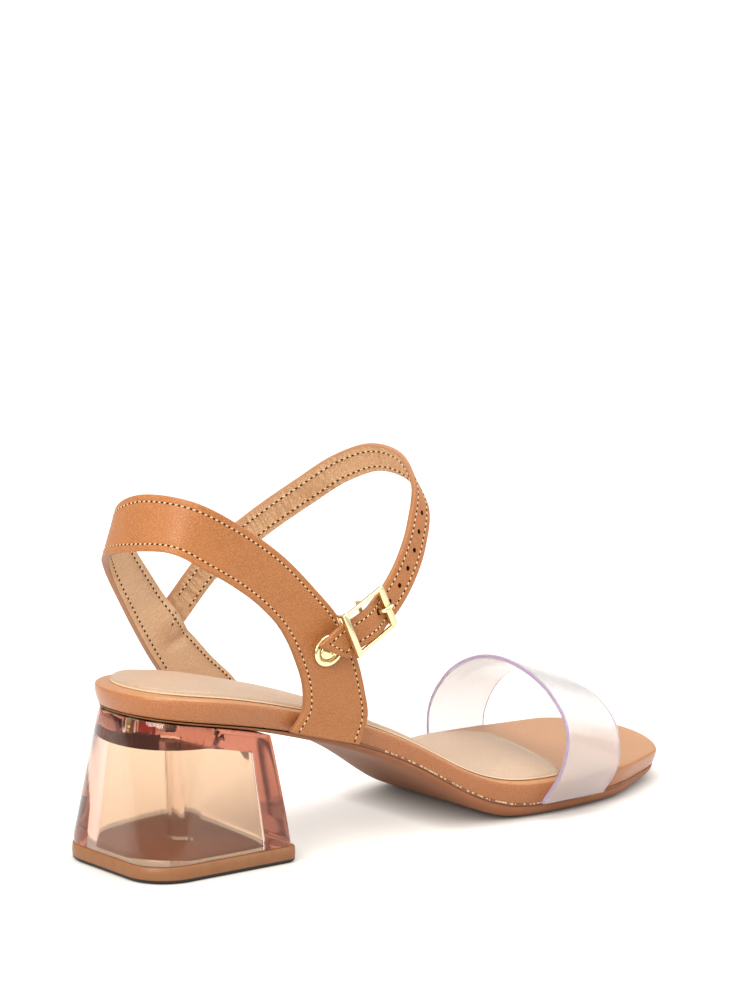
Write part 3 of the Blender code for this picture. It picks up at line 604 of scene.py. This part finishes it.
def even_points(rows, count):
    """Points at even steps along one or two lines that share their rows."""
    rows = np.asarray(rows, float)
    knots = run_of(rows.reshape(len(rows), -1, 3).mean(axis=1))
    return curve_at(knots, rows, np.linspace(0, knots[-1], count))


def unit(vectors):
    return vectors / np.linalg.norm(vectors, axis=-1, keepdims=True)


class Strap:
    """A strip between an upper and a lower edge line, in frame metres.

    Each fold is a soft swell or trough: its place, its reach along and across, and its height, in mm."""

    def __init__(self, upper, lower, inside, folds=()):
        self.upper, self.lower, self.folds = place(upper), place(lower), folds
        middle = (self.upper + self.lower) / 2
        self.run = run_of(middle)
        self.width = np.linalg.norm(self.upper - self.lower, axis=1)
        self.across = unit(self.upper - self.lower)
        self.along = unit(np.gradient(middle, axis=0))
        self.out = unit(np.cross(self.along, self.across))
        if (self.out * (middle - place(inside))).sum() < 0:
            self.out = -self.out

    def spot(self, run, inset, from_upper, rise):
        """A point some way in from an edge and above the middle surface, and the way out there."""
        low, across, out = (read_line(run, self.run, line) for line in (self.lower, self.across, self.out))
        level = np.interp(run, self.run, self.width) - inset if from_upper else inset
        return low + level * across + (rise + self.swell(run, level)) * out, out

    def nearest(self, point):
        """The station whose middle is nearest to a point in the frame."""
        return np.linalg.norm((self.upper + self.lower) / 2 - point, axis=1).argmin()

    def swell(self, run, level):
        """How far the folds lift the leather at a run and a level above the lower edge."""
        lift = 0.0 * level
        for spot, reach_along, reach_across, height in self.folds:
            middle = self.nearest(place(spot))
            away = level - (place(spot) - self.lower[middle]) @ self.across[middle]
            lift += height * MM * np.exp(-((run - self.run[middle]) / (reach_along * MM)) ** 2
                                         - (away / (reach_across * MM)) ** 2)
        return lift


# Columns across a strap, in mm from each edge, with how far the leather dips there under the stitches
EDGE_COLUMNS = ((0.0, -0.1), (0.6, 0.0), (1.5, -0.02), (2.3, -0.16), (3.1, -0.02), (4.2, 0.0))


def strip(strap, edge_columns, middle_columns):
    """The strap's middle surface as a sheet, with a UV map in metres along and across."""
    inset, dip = np.array(edge_columns).T * MM
    bm = bmesh.new()
    uv = bm.loops.layers.uv.new("strap")
    spots = {}
    row, edges = [], []
    for k, run in enumerate(strap.run):
        width = strap.width[k]
        across = np.concatenate([inset, np.linspace(inset[-1], width - inset[-1], middle_columns + 2)[1:-1],
                                 (width - inset)[::-1]])
        rise = np.concatenate([dip, np.zeros(middle_columns), dip[::-1]]) + strap.swell(run, across)
        if k == 0:
            row = [bm.verts.new() for _ in across]
            edges = [bm.edges.new(pair) for pair in zip(row, row[1:])]
        else:
            order = {tuple(v.co): n for n, v in enumerate(row)}
            made = bmesh.ops.extrude_edge_only(bm, edges=edges)["geom"]
            row = [g for g in made if isinstance(g, bmesh.types.BMVert)]
            row.sort(key=lambda v: order[tuple(v.co)])
            edges = [g for g in made if isinstance(g, bmesh.types.BMEdge)]
        for vert, a, r in zip(row, across, rise):
            vert.co = strap.lower[k] + a * strap.across[k] + r * strap.out[k]
            spots[vert] = (run, a)
    for face in bm.faces:
        for loop in face.loops:
            loop[uv].uv = spots[loop.vert]
    bm.normal_update()
    first_face = next(iter(bm.faces))
    if first_face.normal.dot(strap.out[0]) < 0:
        bmesh.ops.reverse_faces(bm, faces=bm.faces)
    return bm


EASED_ANGLE = radians(50)


def give_wall(obj, thick, ease):
    """Thickness with lining and edge finishes, then eased edges."""
    wall = obj.modifiers.new("wall", "SOLIDIFY")
    wall.thickness = thick * MM
    wall.offset = 0.0
    wall.use_even_offset = True
    wall.material_offset = 1
    wall.material_offset_rim = 2
    eased = obj.modifiers.new("eased", "BEVEL")
    eased.width = ease * MM
    eased.segments = 3
    eased.limit_method = "ANGLE"
    eased.angle_limit = EASED_ANGLE
    return obj


# %% [markdown]
# The heel band starts in the sole line on the outer side, climbs round the back of the heel and comes down
# on the inner side. Its rows give the upper and then the lower edge.

# %% Heel band
BAND_ROWS = [
    (82.0, -31.2, 36.8, 53.8, -30.9, 45.0),
    (85.5, -31.5, 46.4, 58.9, -31.2, 51.8),
    (84.2, -31.4, 55.2, 59.3, -31.1, 58.9),
    (80.8, -31.0, 67.7, 56.3, -30.6, 69.4),
    (74.7, -30.1, 80.4, 51.1, -29.9, 79.8),
    (64.7, -28.7, 92.3, 43.5, -29.0, 88.3),
    (52.6, -27.1, 104.5, 33.4, -27.7, 96.2),
    (37.8, -25.3, 115.4, 23.2, -25.3, 102.6),
    (24.0, -21.2, 123.8, 14.6, -20.0, 108.2),
    (15.2, -4.5, 125.8, 9.9, -4.6, 107.6),
    (15.8, 12.4, 119.4, 10.8, 12.6, 103.6),
    (26.5, 24.4, 107.6, 18.4, 23.9, 96.0),
    (38.8, 27.5, 91.5, 27.6, 27.9, 82.0),
    (53.5, 29.1, 72.5, 38.9, 29.3, 63.8),
    (64.5, 29.6, 60.6, 44.0, 29.6, 56.6),
    (76.8, 29.7, 48.4, 48.6, 29.6, 50.0),
    (82.0, 29.3, 38.0, 51.5, 29.3, 45.2),
]
BAND_THICK, BAND_EASE = 2.6, 0.5
BAND_STATIONS = 220
HEEL_MIDDLE = (45, 0, 85)
band_points = even_points(BAND_ROWS, BAND_STATIONS)
# The end of the instep strap swells the band from behind, and a short crease lies below it
BAND_FOLDS = [((46.0, 28.9, 75.5), 6.0, 5.0, -1.9), ((50.5, 29.1, 69.0), 1.9, 4.5, 1.5)]
band = Strap(band_points[:, :3], band_points[:, 3:], HEEL_MIDDLE, BAND_FOLDS)
BAND_FINISHES = [TAN, LINING, EDGE_PAINT, NEEDLE_HOLE_SHADE]
band_piece = give_wall(piece("heel_band", strip(band, EDGE_COLUMNS, 6), BAND_FINISHES,
                             ["ankle_strap"]), BAND_THICK, BAND_EASE)

# %% [markdown]
# The instep strap is a narrow strip of even width, so its table holds only the middle line. The width leans
# back at a steady slant, squared to the line. Its free tip is cut at a slant too.

# %% Instep strap
STRAP_ROWS = [
    (43.5, 28.9, 71.4),
    (48.8, 29.0, 76.2),
    (66.3, 29.6, 92.3),
    (84.1, 25.7, 104.8),
    (98.9, 18.9, 115.3),
    (109.2, 10.2, 123.9),
    (115.4, -0.5, 128.1),
    (118.2, -12.4, 125.9),
    (116.8, -22.0, 117.7),
    (110.6, -28.0, 105.0),
    (101.8, -31.5, 92.6),
    (93.4, -33.2, 84.4),
    (89.5, -33.9, 81.7),
    (84.6, -36.2, 79.6),
    (79.4, -36.4, 77.3),
    (75.5, -35.9, 75.7),
    (67.6, -36.0, 71.2),
]
STRAP_LEAN = np.array((-0.47, 0.05, 0.87))
STRAP_WIDTH = 10.8
STRAP_THICK, STRAP_EASE = 1.8, 0.4
STRAP_STATIONS = 180
STRAP_MIDDLE = (75, 0, 100)
TIP_SLANT = 3.6
TIP_LENGTH = 12.0
strap_line = even_points(STRAP_ROWS, STRAP_STATIONS)
strap_along = unit(np.gradient(strap_line, axis=0))
strap_across = unit(STRAP_LEAN - (strap_along @ STRAP_LEAN)[:, None] * strap_along)
to_end = np.linalg.norm(strap_line - strap_line[-1], axis=1)
slant = TIP_SLANT * np.clip(1 - to_end / TIP_LENGTH, 0, 1)[:, None] * strap_along
strap = Strap(strap_line + strap_across * STRAP_WIDTH / 2 + slant,
              strap_line - strap_across * STRAP_WIDTH / 2 - slant, STRAP_MIDDLE)
STRAP_FINISHES = [TAN, BENT_LINING, EDGE_PAINT, NEEDLE_HOLE_SHADE]
strap_piece = give_wall(piece("instep_strap", strip(strap, EDGE_COLUMNS, 2), STRAP_FINISHES),
                        STRAP_THICK, STRAP_EASE)

# %% [markdown]
# The toe band is the same kind of strip in thick clear vinyl, tucked into the sole line at both ends. The
# same function makes it, with plain edges instead of the dips for stitches.

# %% Clear toe band
VAMP_ROWS = [
    (157.9, -40.5, 5.5, 185.4, -42.2, 5.8),
    (161.5, -46.5, 17.5, 190.8, -44.0, 15.6),
    (165.2, -45.5, 31.0, 194.3, -39.5, 26.9),
    (167.5, -33.4, 42.4, 196.4, -27.8, 35.0),
    (168.6, -15.5, 49.2, 197.8, -12.1, 38.7),
    (170.0, 3.2, 49.6, 199.2, 4.9, 40.0),
    (171.8, 20.1, 44.0, 201.0, 20.7, 38.2),
    (174.5, 34.2, 34.5, 202.6, 34.0, 30.7),
    (176.6, 43.9, 20.8, 203.9, 43.6, 17.3),
    (177.4, 45.0, 6.0, 204.4, 45.0, 6.2),
]
VAMP_THICK, VAMP_EASE = 1.5, 0.3
VAMP_STATIONS = 150
VAMP_MIDDLE = (180, 0, 10)
VAMP_COLUMNS = ((0.0, 0.0), (0.8, 0.0), (3.0, 0.0))
vamp_points = even_points(VAMP_ROWS, VAMP_STATIONS)
vamp = Strap(vamp_points[:, :3], vamp_points[:, 3:], VAMP_MIDDLE)
VAMP_FINISHES = [VINYL, VINYL, VINYL_EDGE]
give_wall(piece("toe_band", strip(vamp, VAMP_COLUMNS, 6), VAMP_FINISHES, ["vamp_strap"]),
          VAMP_THICK, VAMP_EASE)

# %% [markdown]
# The buckle and the eyelet are modelled in their own directions, along, across and outwards, and one matrix
# each then sets them in place. These matrices come first, because they also say where the leather is punched.

# %% Places of the fittings
BUCKLE_PLACE = (82.9, -34.7, 79.9)
BUCKLE_SLOPE = radians(23.1)
BUCKLE_TURN = radians(8.0)
BUCKLE_LEAN = radians(-2.0)
EYELET_PLACE = (69.0, -31.0, 71.0)
EYELET_SLOPE = radians(25.0)


def stand(middle, along, out):
    """A matrix from a fitting's own millimetres to the frame."""
    along = (along - along.dot(out) * out).normalized()
    return (Matrix.Translation(middle) @ Matrix((along, out.cross(along), out)).transposed().to_4x4()
            @ Matrix.Scale(MM, 4))


run = Vector((cos(BUCKLE_SLOPE) * cos(BUCKLE_TURN), sin(BUCKLE_TURN), sin(BUCKLE_SLOPE) * cos(BUCKLE_TURN)))
rise = Vector((-sin(BUCKLE_SLOPE), 0.0, cos(BUCKLE_SLOPE)))
rise = cos(BUCKLE_LEAN) * rise + sin(BUCKLE_LEAN) * run.cross(rise)
BUCKLE = stand(Vector(place(BUCKLE_PLACE)), run, run.cross(rise).normalized())

near = band.nearest(place(EYELET_PLACE))
eyelet_out = Vector(band.out[near])
eyelet_spot = Vector(place(EYELET_PLACE))
eyelet_spot -= (eyelet_spot - Vector((band.upper[near] + band.lower[near]) / 2)).dot(eyelet_out) * eyelet_out
EYELET = stand(eyelet_spot, Vector((cos(EYELET_SLOPE), 0, sin(EYELET_SLOPE))), eyelet_out)
print("buckle at", BUCKLE.translation[:], "eyelet at", EYELET.translation[:])

# %% [markdown]
# The holes are punched through the finished straps: an oval one for the eyelet, one for the prong, and six
# spare ones further up the strap. A row of cylinders on one cutter and a Boolean make clean walls, as a
# punch does, and the walls take the near-black needle-hole finish as painted shade inside the holes.

# %% Punched holes
EYELET_HOLE = (4.75, 3.75)
PRONG_HOLE = 1.2
PRONG_HOLE_ALONG = 5.7
SPARE_HOLE = 0.85
SPARE_PITCH = 7.0
SPARE_COUNT = 6
PUNCH_LENGTH = 16.0
HOLE_WALL_SHADE = 3


def punch(obj, holes):
    """Cuts oval holes through a strap; each has its matrix and its half sizes in mm."""
    bm = bmesh.new()
    for matrix, half_along, half_across in holes:
        bmesh.ops.create_cone(bm, cap_ends=True, segments=28, radius1=1.0, radius2=1.0, depth=PUNCH_LENGTH,
                              matrix=matrix @ Matrix.Diagonal((half_along, half_across, 1.0, 1.0)))
    # The hole walls get the near-black finish: painted shade inside the hole
    for face in bm.faces:
        face.material_index = HOLE_WALL_SHADE
    cutter = show("punch", bm)
    cut = obj.modifiers.new("holes", "BOOLEAN")
    cut.object = cutter
    settle(obj)
    bpy.data.objects.remove(cutter)
    print(obj.name, "has", len(holes), "holes and", len(obj.data.polygons), "faces")


prong_station = strap.nearest(BUCKLE @ Vector((PRONG_HOLE_ALONG, 0, 0)))
strap_holes = [(BUCKLE @ Matrix.Translation((PRONG_HOLE_ALONG, 0, 0)), PRONG_HOLE, PRONG_HOLE)]
for number in range(1, SPARE_COUNT + 1):
    where = strap.run[prong_station] - number * SPARE_PITCH * MM
    middle, out = strap.spot(where, STRAP_WIDTH / 2 * MM, True, 0.0)
    along = read_line(where, strap.run, strap.along)
    strap_holes.append((stand(Vector(middle), Vector(along), Vector(out)), SPARE_HOLE, SPARE_HOLE))
punch(band_piece, [(EYELET, *EYELET_HOLE)])
punch(strap_piece, strap_holes)

# %% [markdown]
# The stitches are short runs of thread: two rows on each strap, on both faces, a row that closes the strap's
# slanted tip, and a short tack row where the two straps meet. One thread shape and one dark hole mark, which
# paints the shade where the thread sinks in, are made once and set down again and again by turns, because a
# seam is the same stitch repeated.

# %% Stitches
STITCH_PITCH = 2.1
STITCH_SIZE = (1.3, 0.52, 0.5)
HOLE_SHADE_SIZE = (1.15, 0.68, 0.3)
STITCH_DIP = 0.16
STITCH_RISE = 0.06
STITCH_INSET = 2.3
STITCH_LEAN = radians(10)
ROW_STEP = 0.7
TACK_RUNS, TACK_LEVELS, TACK_POINTS = (189.5, 192.0), (15.4, 11.2), 8


def seam(bm, row):
    """Needle holes as painted shade and stitches by turns along a row of points on the leather and their ways
    out.
    """
    points, outs = (np.array(part) for part in zip(*row))
    run = run_of(points)
    where = np.arange(2 * int(run[-1] / (STITCH_PITCH * MM)) + 1) * STITCH_PITCH * MM / 2
    spots, ups = (read_line(where, run, line) for line in (points, outs))
    for number, (spot, along, up) in enumerate(zip(spots, unit(np.gradient(spots, axis=0)), unit(ups))):
        up = unit(up - (up @ along) * along)
        if number % 2:
            set_down(bm, THREAD_SHAPE, 0, spot, along, up, STITCH_LEAN)
        else:
            # the hole mark is near black: painted shade where the thread sinks in
            set_down(bm, HOLE_SHADE_SHAPE, 1, spot, along, up)


def edge_row(strap, from_upper, rise, first, last):
    """Points and outward ways along one edge of a strap, between two runs in mm."""
    return [strap.spot(run * MM, STITCH_INSET * MM, from_upper, rise * MM)
            for run in np.arange(first, last, ROW_STEP)]


THREAD_SHAPE = bead(STITCH_SIZE, 8, 6)
HOLE_SHADE_SHAPE = bead(HOLE_SHADE_SIZE, 7, 4)
# The strap, its thickness, its outer or inner face, and how far from both ends the stitches stop
ROWS = ((band, BAND_THICK, 1, 1.0, 1.0),
        (band, BAND_THICK, -1, 5.0, 5.0),
        (strap, STRAP_THICK, 1, 14.0, STITCH_INSET),
        (strap, STRAP_THICK, -1, 14.0, STITCH_INSET))
sewing = bmesh.new()
for sewn, thick, face_side, first, last in ROWS:
    rise = face_side * (thick / 2 + STITCH_RISE) - STITCH_DIP
    for from_upper in (True, False):
        seam(sewing, edge_row(sewn, from_upper, rise, first, sewn.run[-1] / MM - last))
# A short tack row on the lining holds the end of the instep strap
seam(sewing, [band.spot(run * MM, level * MM, False, -(BAND_THICK / 2 + STITCH_RISE) * MM)
              for run, level in np.linspace(*zip(TACK_RUNS, TACK_LEVELS), TACK_POINTS)])
tip_run = strap.run[-1] - STITCH_INSET * MM
tip_rise = (STRAP_THICK / 2 + STITCH_RISE - STITCH_DIP) * MM
seam(sewing, [strap.spot(tip_run, STITCH_INSET * MM, from_upper, tip_rise) for from_upper in (True, False)])
piece("strap_stitches", sewing, [THREAD, NEEDLE_HOLE_SHADE])

# %% [markdown]
# The heel block and its tip are moulded, so they are smooth with crisp edges. Copies of their solids keep the
# outline. The clear block shows every uneven face, so each of its flats is made one face with a narrow margin
# before a subdivision surface rounds what lies between. The tip is cut level for its black walking layer,
# which is drawn taller to paint the contact shadow under it, and its top gets a paler rubber as painted
# light. The screws keep their solids and get a better finish.

# %% Heel
FLAT_AREA = 60.0
FLAT_ANGLE = radians(2)
FLAT_MARGIN = 0.4
RING_FACING = -0.8  # faces that look down have a hole in them, so they stay triangles
GLUED_FACING = 0.8  # the seat that meets the sole
TREAD_AND_SHADOW_HEIGHT = 1.3  # the black walking layer under the tip, drawn taller to paint its contact shadow


def with_true_flats(node):
    """A welded copy whose flats are single faces with a narrow margin, so that shading keeps them flat."""
    bm = from_solid(node, pair=False)
    ringed = {face for face in bm.faces if face.normal.z < RING_FACING}
    joined = [edge for edge in bm.edges if not ringed.intersection(edge.link_faces)]
    bmesh.ops.dissolve_limit(bm, angle_limit=FLAT_ANGLE, verts=bm.verts, edges=joined)
    flats = [face for face in bm.faces
             if face.calc_area() > FLAT_AREA * MM ** 2 and face.normal.z > RING_FACING]
    bmesh.ops.inset_individual(bm, faces=flats, thickness=FLAT_MARGIN * MM, use_even_offset=True)
    crease_edges(bm, 1.0)
    inner, glued = (bm.faces.layers.float.new(name) for name in ("inner_face", "glued_face"))
    middle = (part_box(node)[0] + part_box(node)[1]) / 2
    for face in bm.faces:
        face[inner] = 1.0 if face.normal.dot(face.calc_center_median() - middle) < 0 else 0.0
        face[glued] = 1.0 if face.normal.z > GLUED_FACING and not face[inner] else 0.0
    print(node, "has", len(flats), "flats")
    return bm


heel = piece("clear_heel", with_true_flats("heel_block"), [RESIN], ["heel_block"])
settle(round_off(heel), crease=30)
tip_mesh = from_solid("heel_tip", pair=False)
bmesh.ops.bisect_plane(tip_mesh, geom=tip_mesh.verts[:] + tip_mesh.edges[:] + tip_mesh.faces[:], dist=0,
                       plane_co=(0, 0, TREAD_AND_SHADOW_HEIGHT * MM), plane_no=(0, 0, 1))
# Below the cut: black rubber that also paints the contact shadow; faces that look up: painted light
for face in tip_mesh.faces:
    if face.calc_center_median().z < TREAD_AND_SHADOW_HEIGHT * MM:
        face.material_index = 1
    elif face.normal.z > GLUED_FACING:
        face.material_index = 2
TIP_FINISHES = [TIP_RUBBER, TIP_TREAD_AND_SHADOW, TIP_TOP_PAINTED_LIGHT]
settle(piece("heel_top_piece", tip_mesh, TIP_FINISHES, ["heel_tip"]), crease=40)
for number in (1, 2, 3):
    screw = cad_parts[f"heel_screw_{number}"]
    screw.data.materials.clear()
    screw.data.materials.append(SCREW_STEEL)

# %% [markdown]
# The buckle lies flat on the strap. The frame is a rounded plate with a window, on posts that carry the round
# centre bar and the hook's bar, and every edge is eased as on a polished casting. The plate is inset and its
# window bridged through, which is cleaner than a Boolean, and blocks with bevels give the rest.

# %% Buckle frame
FRAME_BOX = ((-10.7, 10.6), (-7.8, 7.8), (1.3, 2.9))
FRAME_CORNER, FRAME_EASE = 1.3, 0.35
RAIL, LOWER_BAR, UPPER_BAR = 1.2, 2.0, 2.7
POST_ACROSS, POST_TOP = 7.15, 2.1
POST_HALF_SIZE = (0.5, 0.45)
POST_FEET = ((0.0, -1.2), (-9.4, -2.1))  # each post's place along the strap and its foot
POST_EASE, LOWER_BAR_EASE = 0.2, 0.45
BAR_RADIUS, BAR_LENGTH, BAR_LEVEL = 0.7, 14.4, -0.5
LOWER_BAR_BOX = ((-10.9, -8.6), (-8.3, 8.3), (1.2, 3.2))
HOOK_BAR_BOX = ((-10.0, -8.8), (-7.2, 7.2), (-2.1, -1.35))


def ease(bm, edges, width, segments=3):
    """Rounds edges off."""
    bmesh.ops.bevel(bm, geom=edges, offset=width, offset_type="OFFSET", segments=segments, profile=0.5,
                    affect="EDGES", material=-1)


def block(bm, limits):
    """A plain block from pairs of limits in mm; gives back its edges."""
    size = [high - low for low, high in limits]
    middle = [(high + low) / 2 for low, high in limits]
    matrix = Matrix.Translation(middle) @ Matrix.Diagonal((*size, 1.0))
    corners = set(bmesh.ops.create_cube(bm, size=1.0, matrix=matrix)["verts"])
    return [edge for edge in bm.edges if edge.verts[0] in corners]


buckle = bmesh.new()
plate = block(buckle, FRAME_BOX)
uprights = [edge for edge in plate if abs(edge.verts[0].co.z - edge.verts[1].co.z) > 0.1]
ease(buckle, uprights, FRAME_CORNER, 5)
buckle.normal_update()
lids = [face for face in buckle.faces if abs(face.normal.z) > 0.9]
bmesh.ops.inset_individual(buckle, faces=lids, thickness=RAIL, use_even_offset=True)
for vert in {vert for face in lids for vert in face.verts}:
    vert.co.x += LOWER_BAR - RAIL if vert.co.x < sum(FRAME_BOX[0]) / 2 else RAIL - UPPER_BAR
rims = [edge for face in lids for edge in face.edges]
bmesh.ops.delete(buckle, geom=lids, context="FACES_ONLY")
bmesh.ops.bridge_loops(buckle, edges=rims)
bmesh.ops.recalc_face_normals(buckle, faces=buckle.faces)
sharp = [edge for edge in buckle.edges if edge.is_manifold and edge.calc_face_angle() > radians(60)]
ease(buckle, sharp, FRAME_EASE)
half_along, half_across = POST_HALF_SIZE
for across in (-POST_ACROSS, POST_ACROSS):
    for along, foot in POST_FEET:
        post = ((along - half_along, along + half_along), (across - half_across, across + half_across),
                (foot, POST_TOP))
        ease(buckle, block(buckle, post), POST_EASE)
bar_turn = Matrix.Rotation(radians(90), 4, "X")
bmesh.ops.create_cone(buckle, cap_ends=True, segments=24, radius1=BAR_RADIUS, radius2=BAR_RADIUS,
                      depth=BAR_LENGTH, matrix=Matrix.Translation((0, 0, BAR_LEVEL)) @ bar_turn)
ease(buckle, block(buckle, LOWER_BAR_BOX), LOWER_BAR_EASE)
ease(buckle, block(buckle, HOOK_BAR_BOX), POST_EASE)
print("frame, posts and bars have", len(buckle.faces), "faces")

# %% [markdown]
# The hook is a thin tongue that runs from its bar down to the eyelet, so it is made level and then tilted by
# interpolating its height. Its peg is an oval stub: a cylinder, stretched, with a rounded rim.

# %% Hook and peg
HOOK_HALF_WIDTH = 2.2
HOOK_THICK, HOOK_EASE = 0.6, 0.15
HOOK_ABOVE_BAND = 2.7
PEG_HALF_SIZE = (3.7, 2.65)
PEG_LEVELS, PEG_EASE = (-0.6, 2.3), 0.4
peg_along, peg_across, peg_out = BUCKLE.inverted() @ EYELET.translation
others = set(buckle.verts)
tongue = ((peg_along, HOOK_BAR_BOX[0][0]), (peg_across - HOOK_HALF_WIDTH, peg_across + HOOK_HALF_WIDTH),
          (0.0, HOOK_THICK))
ease(buckle, block(buckle, tongue), HOOK_EASE)
hook_levels = (peg_out + HOOK_ABOVE_BAND, HOOK_BAR_BOX[2][0])
for vert in set(buckle.verts) - others:
    vert.co.z += np.interp(vert.co.x, (peg_along, HOOK_BAR_BOX[0][0]), hook_levels)
buckle.transform(BUCKLE)
peg = bmesh.new()
peg_foot, peg_top = PEG_LEVELS
bmesh.ops.create_cone(peg, cap_ends=True, segments=40, radius1=1.0, radius2=1.0, depth=peg_top - peg_foot,
                      matrix=Matrix.Translation((0, 0, (peg_foot + peg_top) / 2)))
bmesh.ops.scale(peg, verts=peg.verts, vec=(*PEG_HALF_SIZE, 1.0))
peg_rim = [edge for edge in peg.edges if min(vert.co.z for vert in edge.verts) > peg_top - 0.01]
ease(peg, peg_rim, PEG_EASE)
peg.transform(EYELET)
peg_mesh = as_mesh("peg", peg)
buckle.from_mesh(peg_mesh)
bpy.data.meshes.remove(peg_mesh)
buckle_piece = piece("gilt_buckle", buckle, [GILT], ["buckle_frame"])
buckle_piece.data.set_sharp_from_angle(angle=radians(35))

# %% [markdown]
# The prong turns on the centre bar, comes up through its hole and rests on the upper bar. It is a bent rod,
# so a curve with a round bevel makes it, and the curve is then made a mesh.

# %% Prong


def rod(points, radii, matrix):
    """A round rod through the points, as a bmesh."""
    curve = bpy.data.curves.new("rod", "CURVE")
    curve.dimensions = "3D"
    curve.bevel_depth = 1.0
    curve.bevel_resolution = 5
    curve.use_fill_caps = True
    spline = curve.splines.new("POLY")
    spline.points.add(len(points) - 1)
    for node, point, radius in zip(spline.points, points, radii):
        node.co = (*point, 1.0)
        node.radius = radius
    holder = bpy.data.objects.new("rod", curve)
    mesh = bpy.data.meshes.new_from_object(holder)
    bm = bmesh.new()
    bm.from_mesh(mesh)
    bmesh.ops.remove_doubles(bm, verts=bm.verts, dist=0.001)
    bm.transform(matrix)
    bmesh.ops.recalc_face_normals(bm, faces=bm.faces)
    bpy.data.objects.remove(holder)
    bpy.data.curves.remove(curve)
    bpy.data.meshes.remove(mesh)
    return bm


PRONG_ROUTE = [(1.4, 0, -0.75), (3.6, 0, -0.95), (4.9, 0, -0.7), (5.7, 0, 0.5), (6.1, 0, 2.0), (6.9, 0, 3.5),
               (8.4, 0, 3.9), (10.6, 0, 3.75)]
PRONG_POINTS = 30
PRONG_TAPER = ((0, 0.8, 1.0), (0.8, 0.75, 0.45))  # shares of its length, and the radius there
prong_line = even_points(PRONG_ROUTE, PRONG_POINTS)
prong_radius = np.interp(np.linspace(0, 1, PRONG_POINTS), *PRONG_TAPER)
piece("gilt_prong", rod(prong_line, prong_radius, BUCKLE), [GILT], ["buckle_prong"])

# %% [markdown]
# The eyelet is a stamped oval ring with a rolled flange. A round profile is spun once and then stretched to
# the oval, which keeps the flange's width even all the way round.

# %% Eyelet
EYELET_STRETCH = 1.1
EYELET_PROFILE = ((2.9, -1.2), (2.95, 1.9), (3.4, 2.35), (4.2, 2.45), (4.8, 2.3), (5.15, 1.95), (5.15, 1.65),
                  (3.6, 1.6), (3.5, -1.2))
eyelet = bmesh.new()
profile = [eyelet.verts.new((radius, 0, level)) for radius, level in EYELET_PROFILE]
outline = [eyelet.edges.new(pair) for pair in zip(profile, profile[1:] + profile[:1])]
bmesh.ops.spin(eyelet, geom=profile + outline, cent=(0, 0, 0), axis=(0, 0, 1), angle=2 * pi, steps=48,
               use_merge=True)
bmesh.ops.remove_doubles(eyelet, verts=eyelet.verts, dist=0.0001)
for vert in eyelet.verts:
    radius = hypot(vert.co.x, vert.co.y)
    vert.co.x *= (radius + EYELET_STRETCH) / radius
eyelet.transform(EYELET)
bmesh.ops.recalc_face_normals(eyelet, faces=eyelet.faces)
piece("gilt_eyelet", eyelet, [GILT], ["eyelet"])
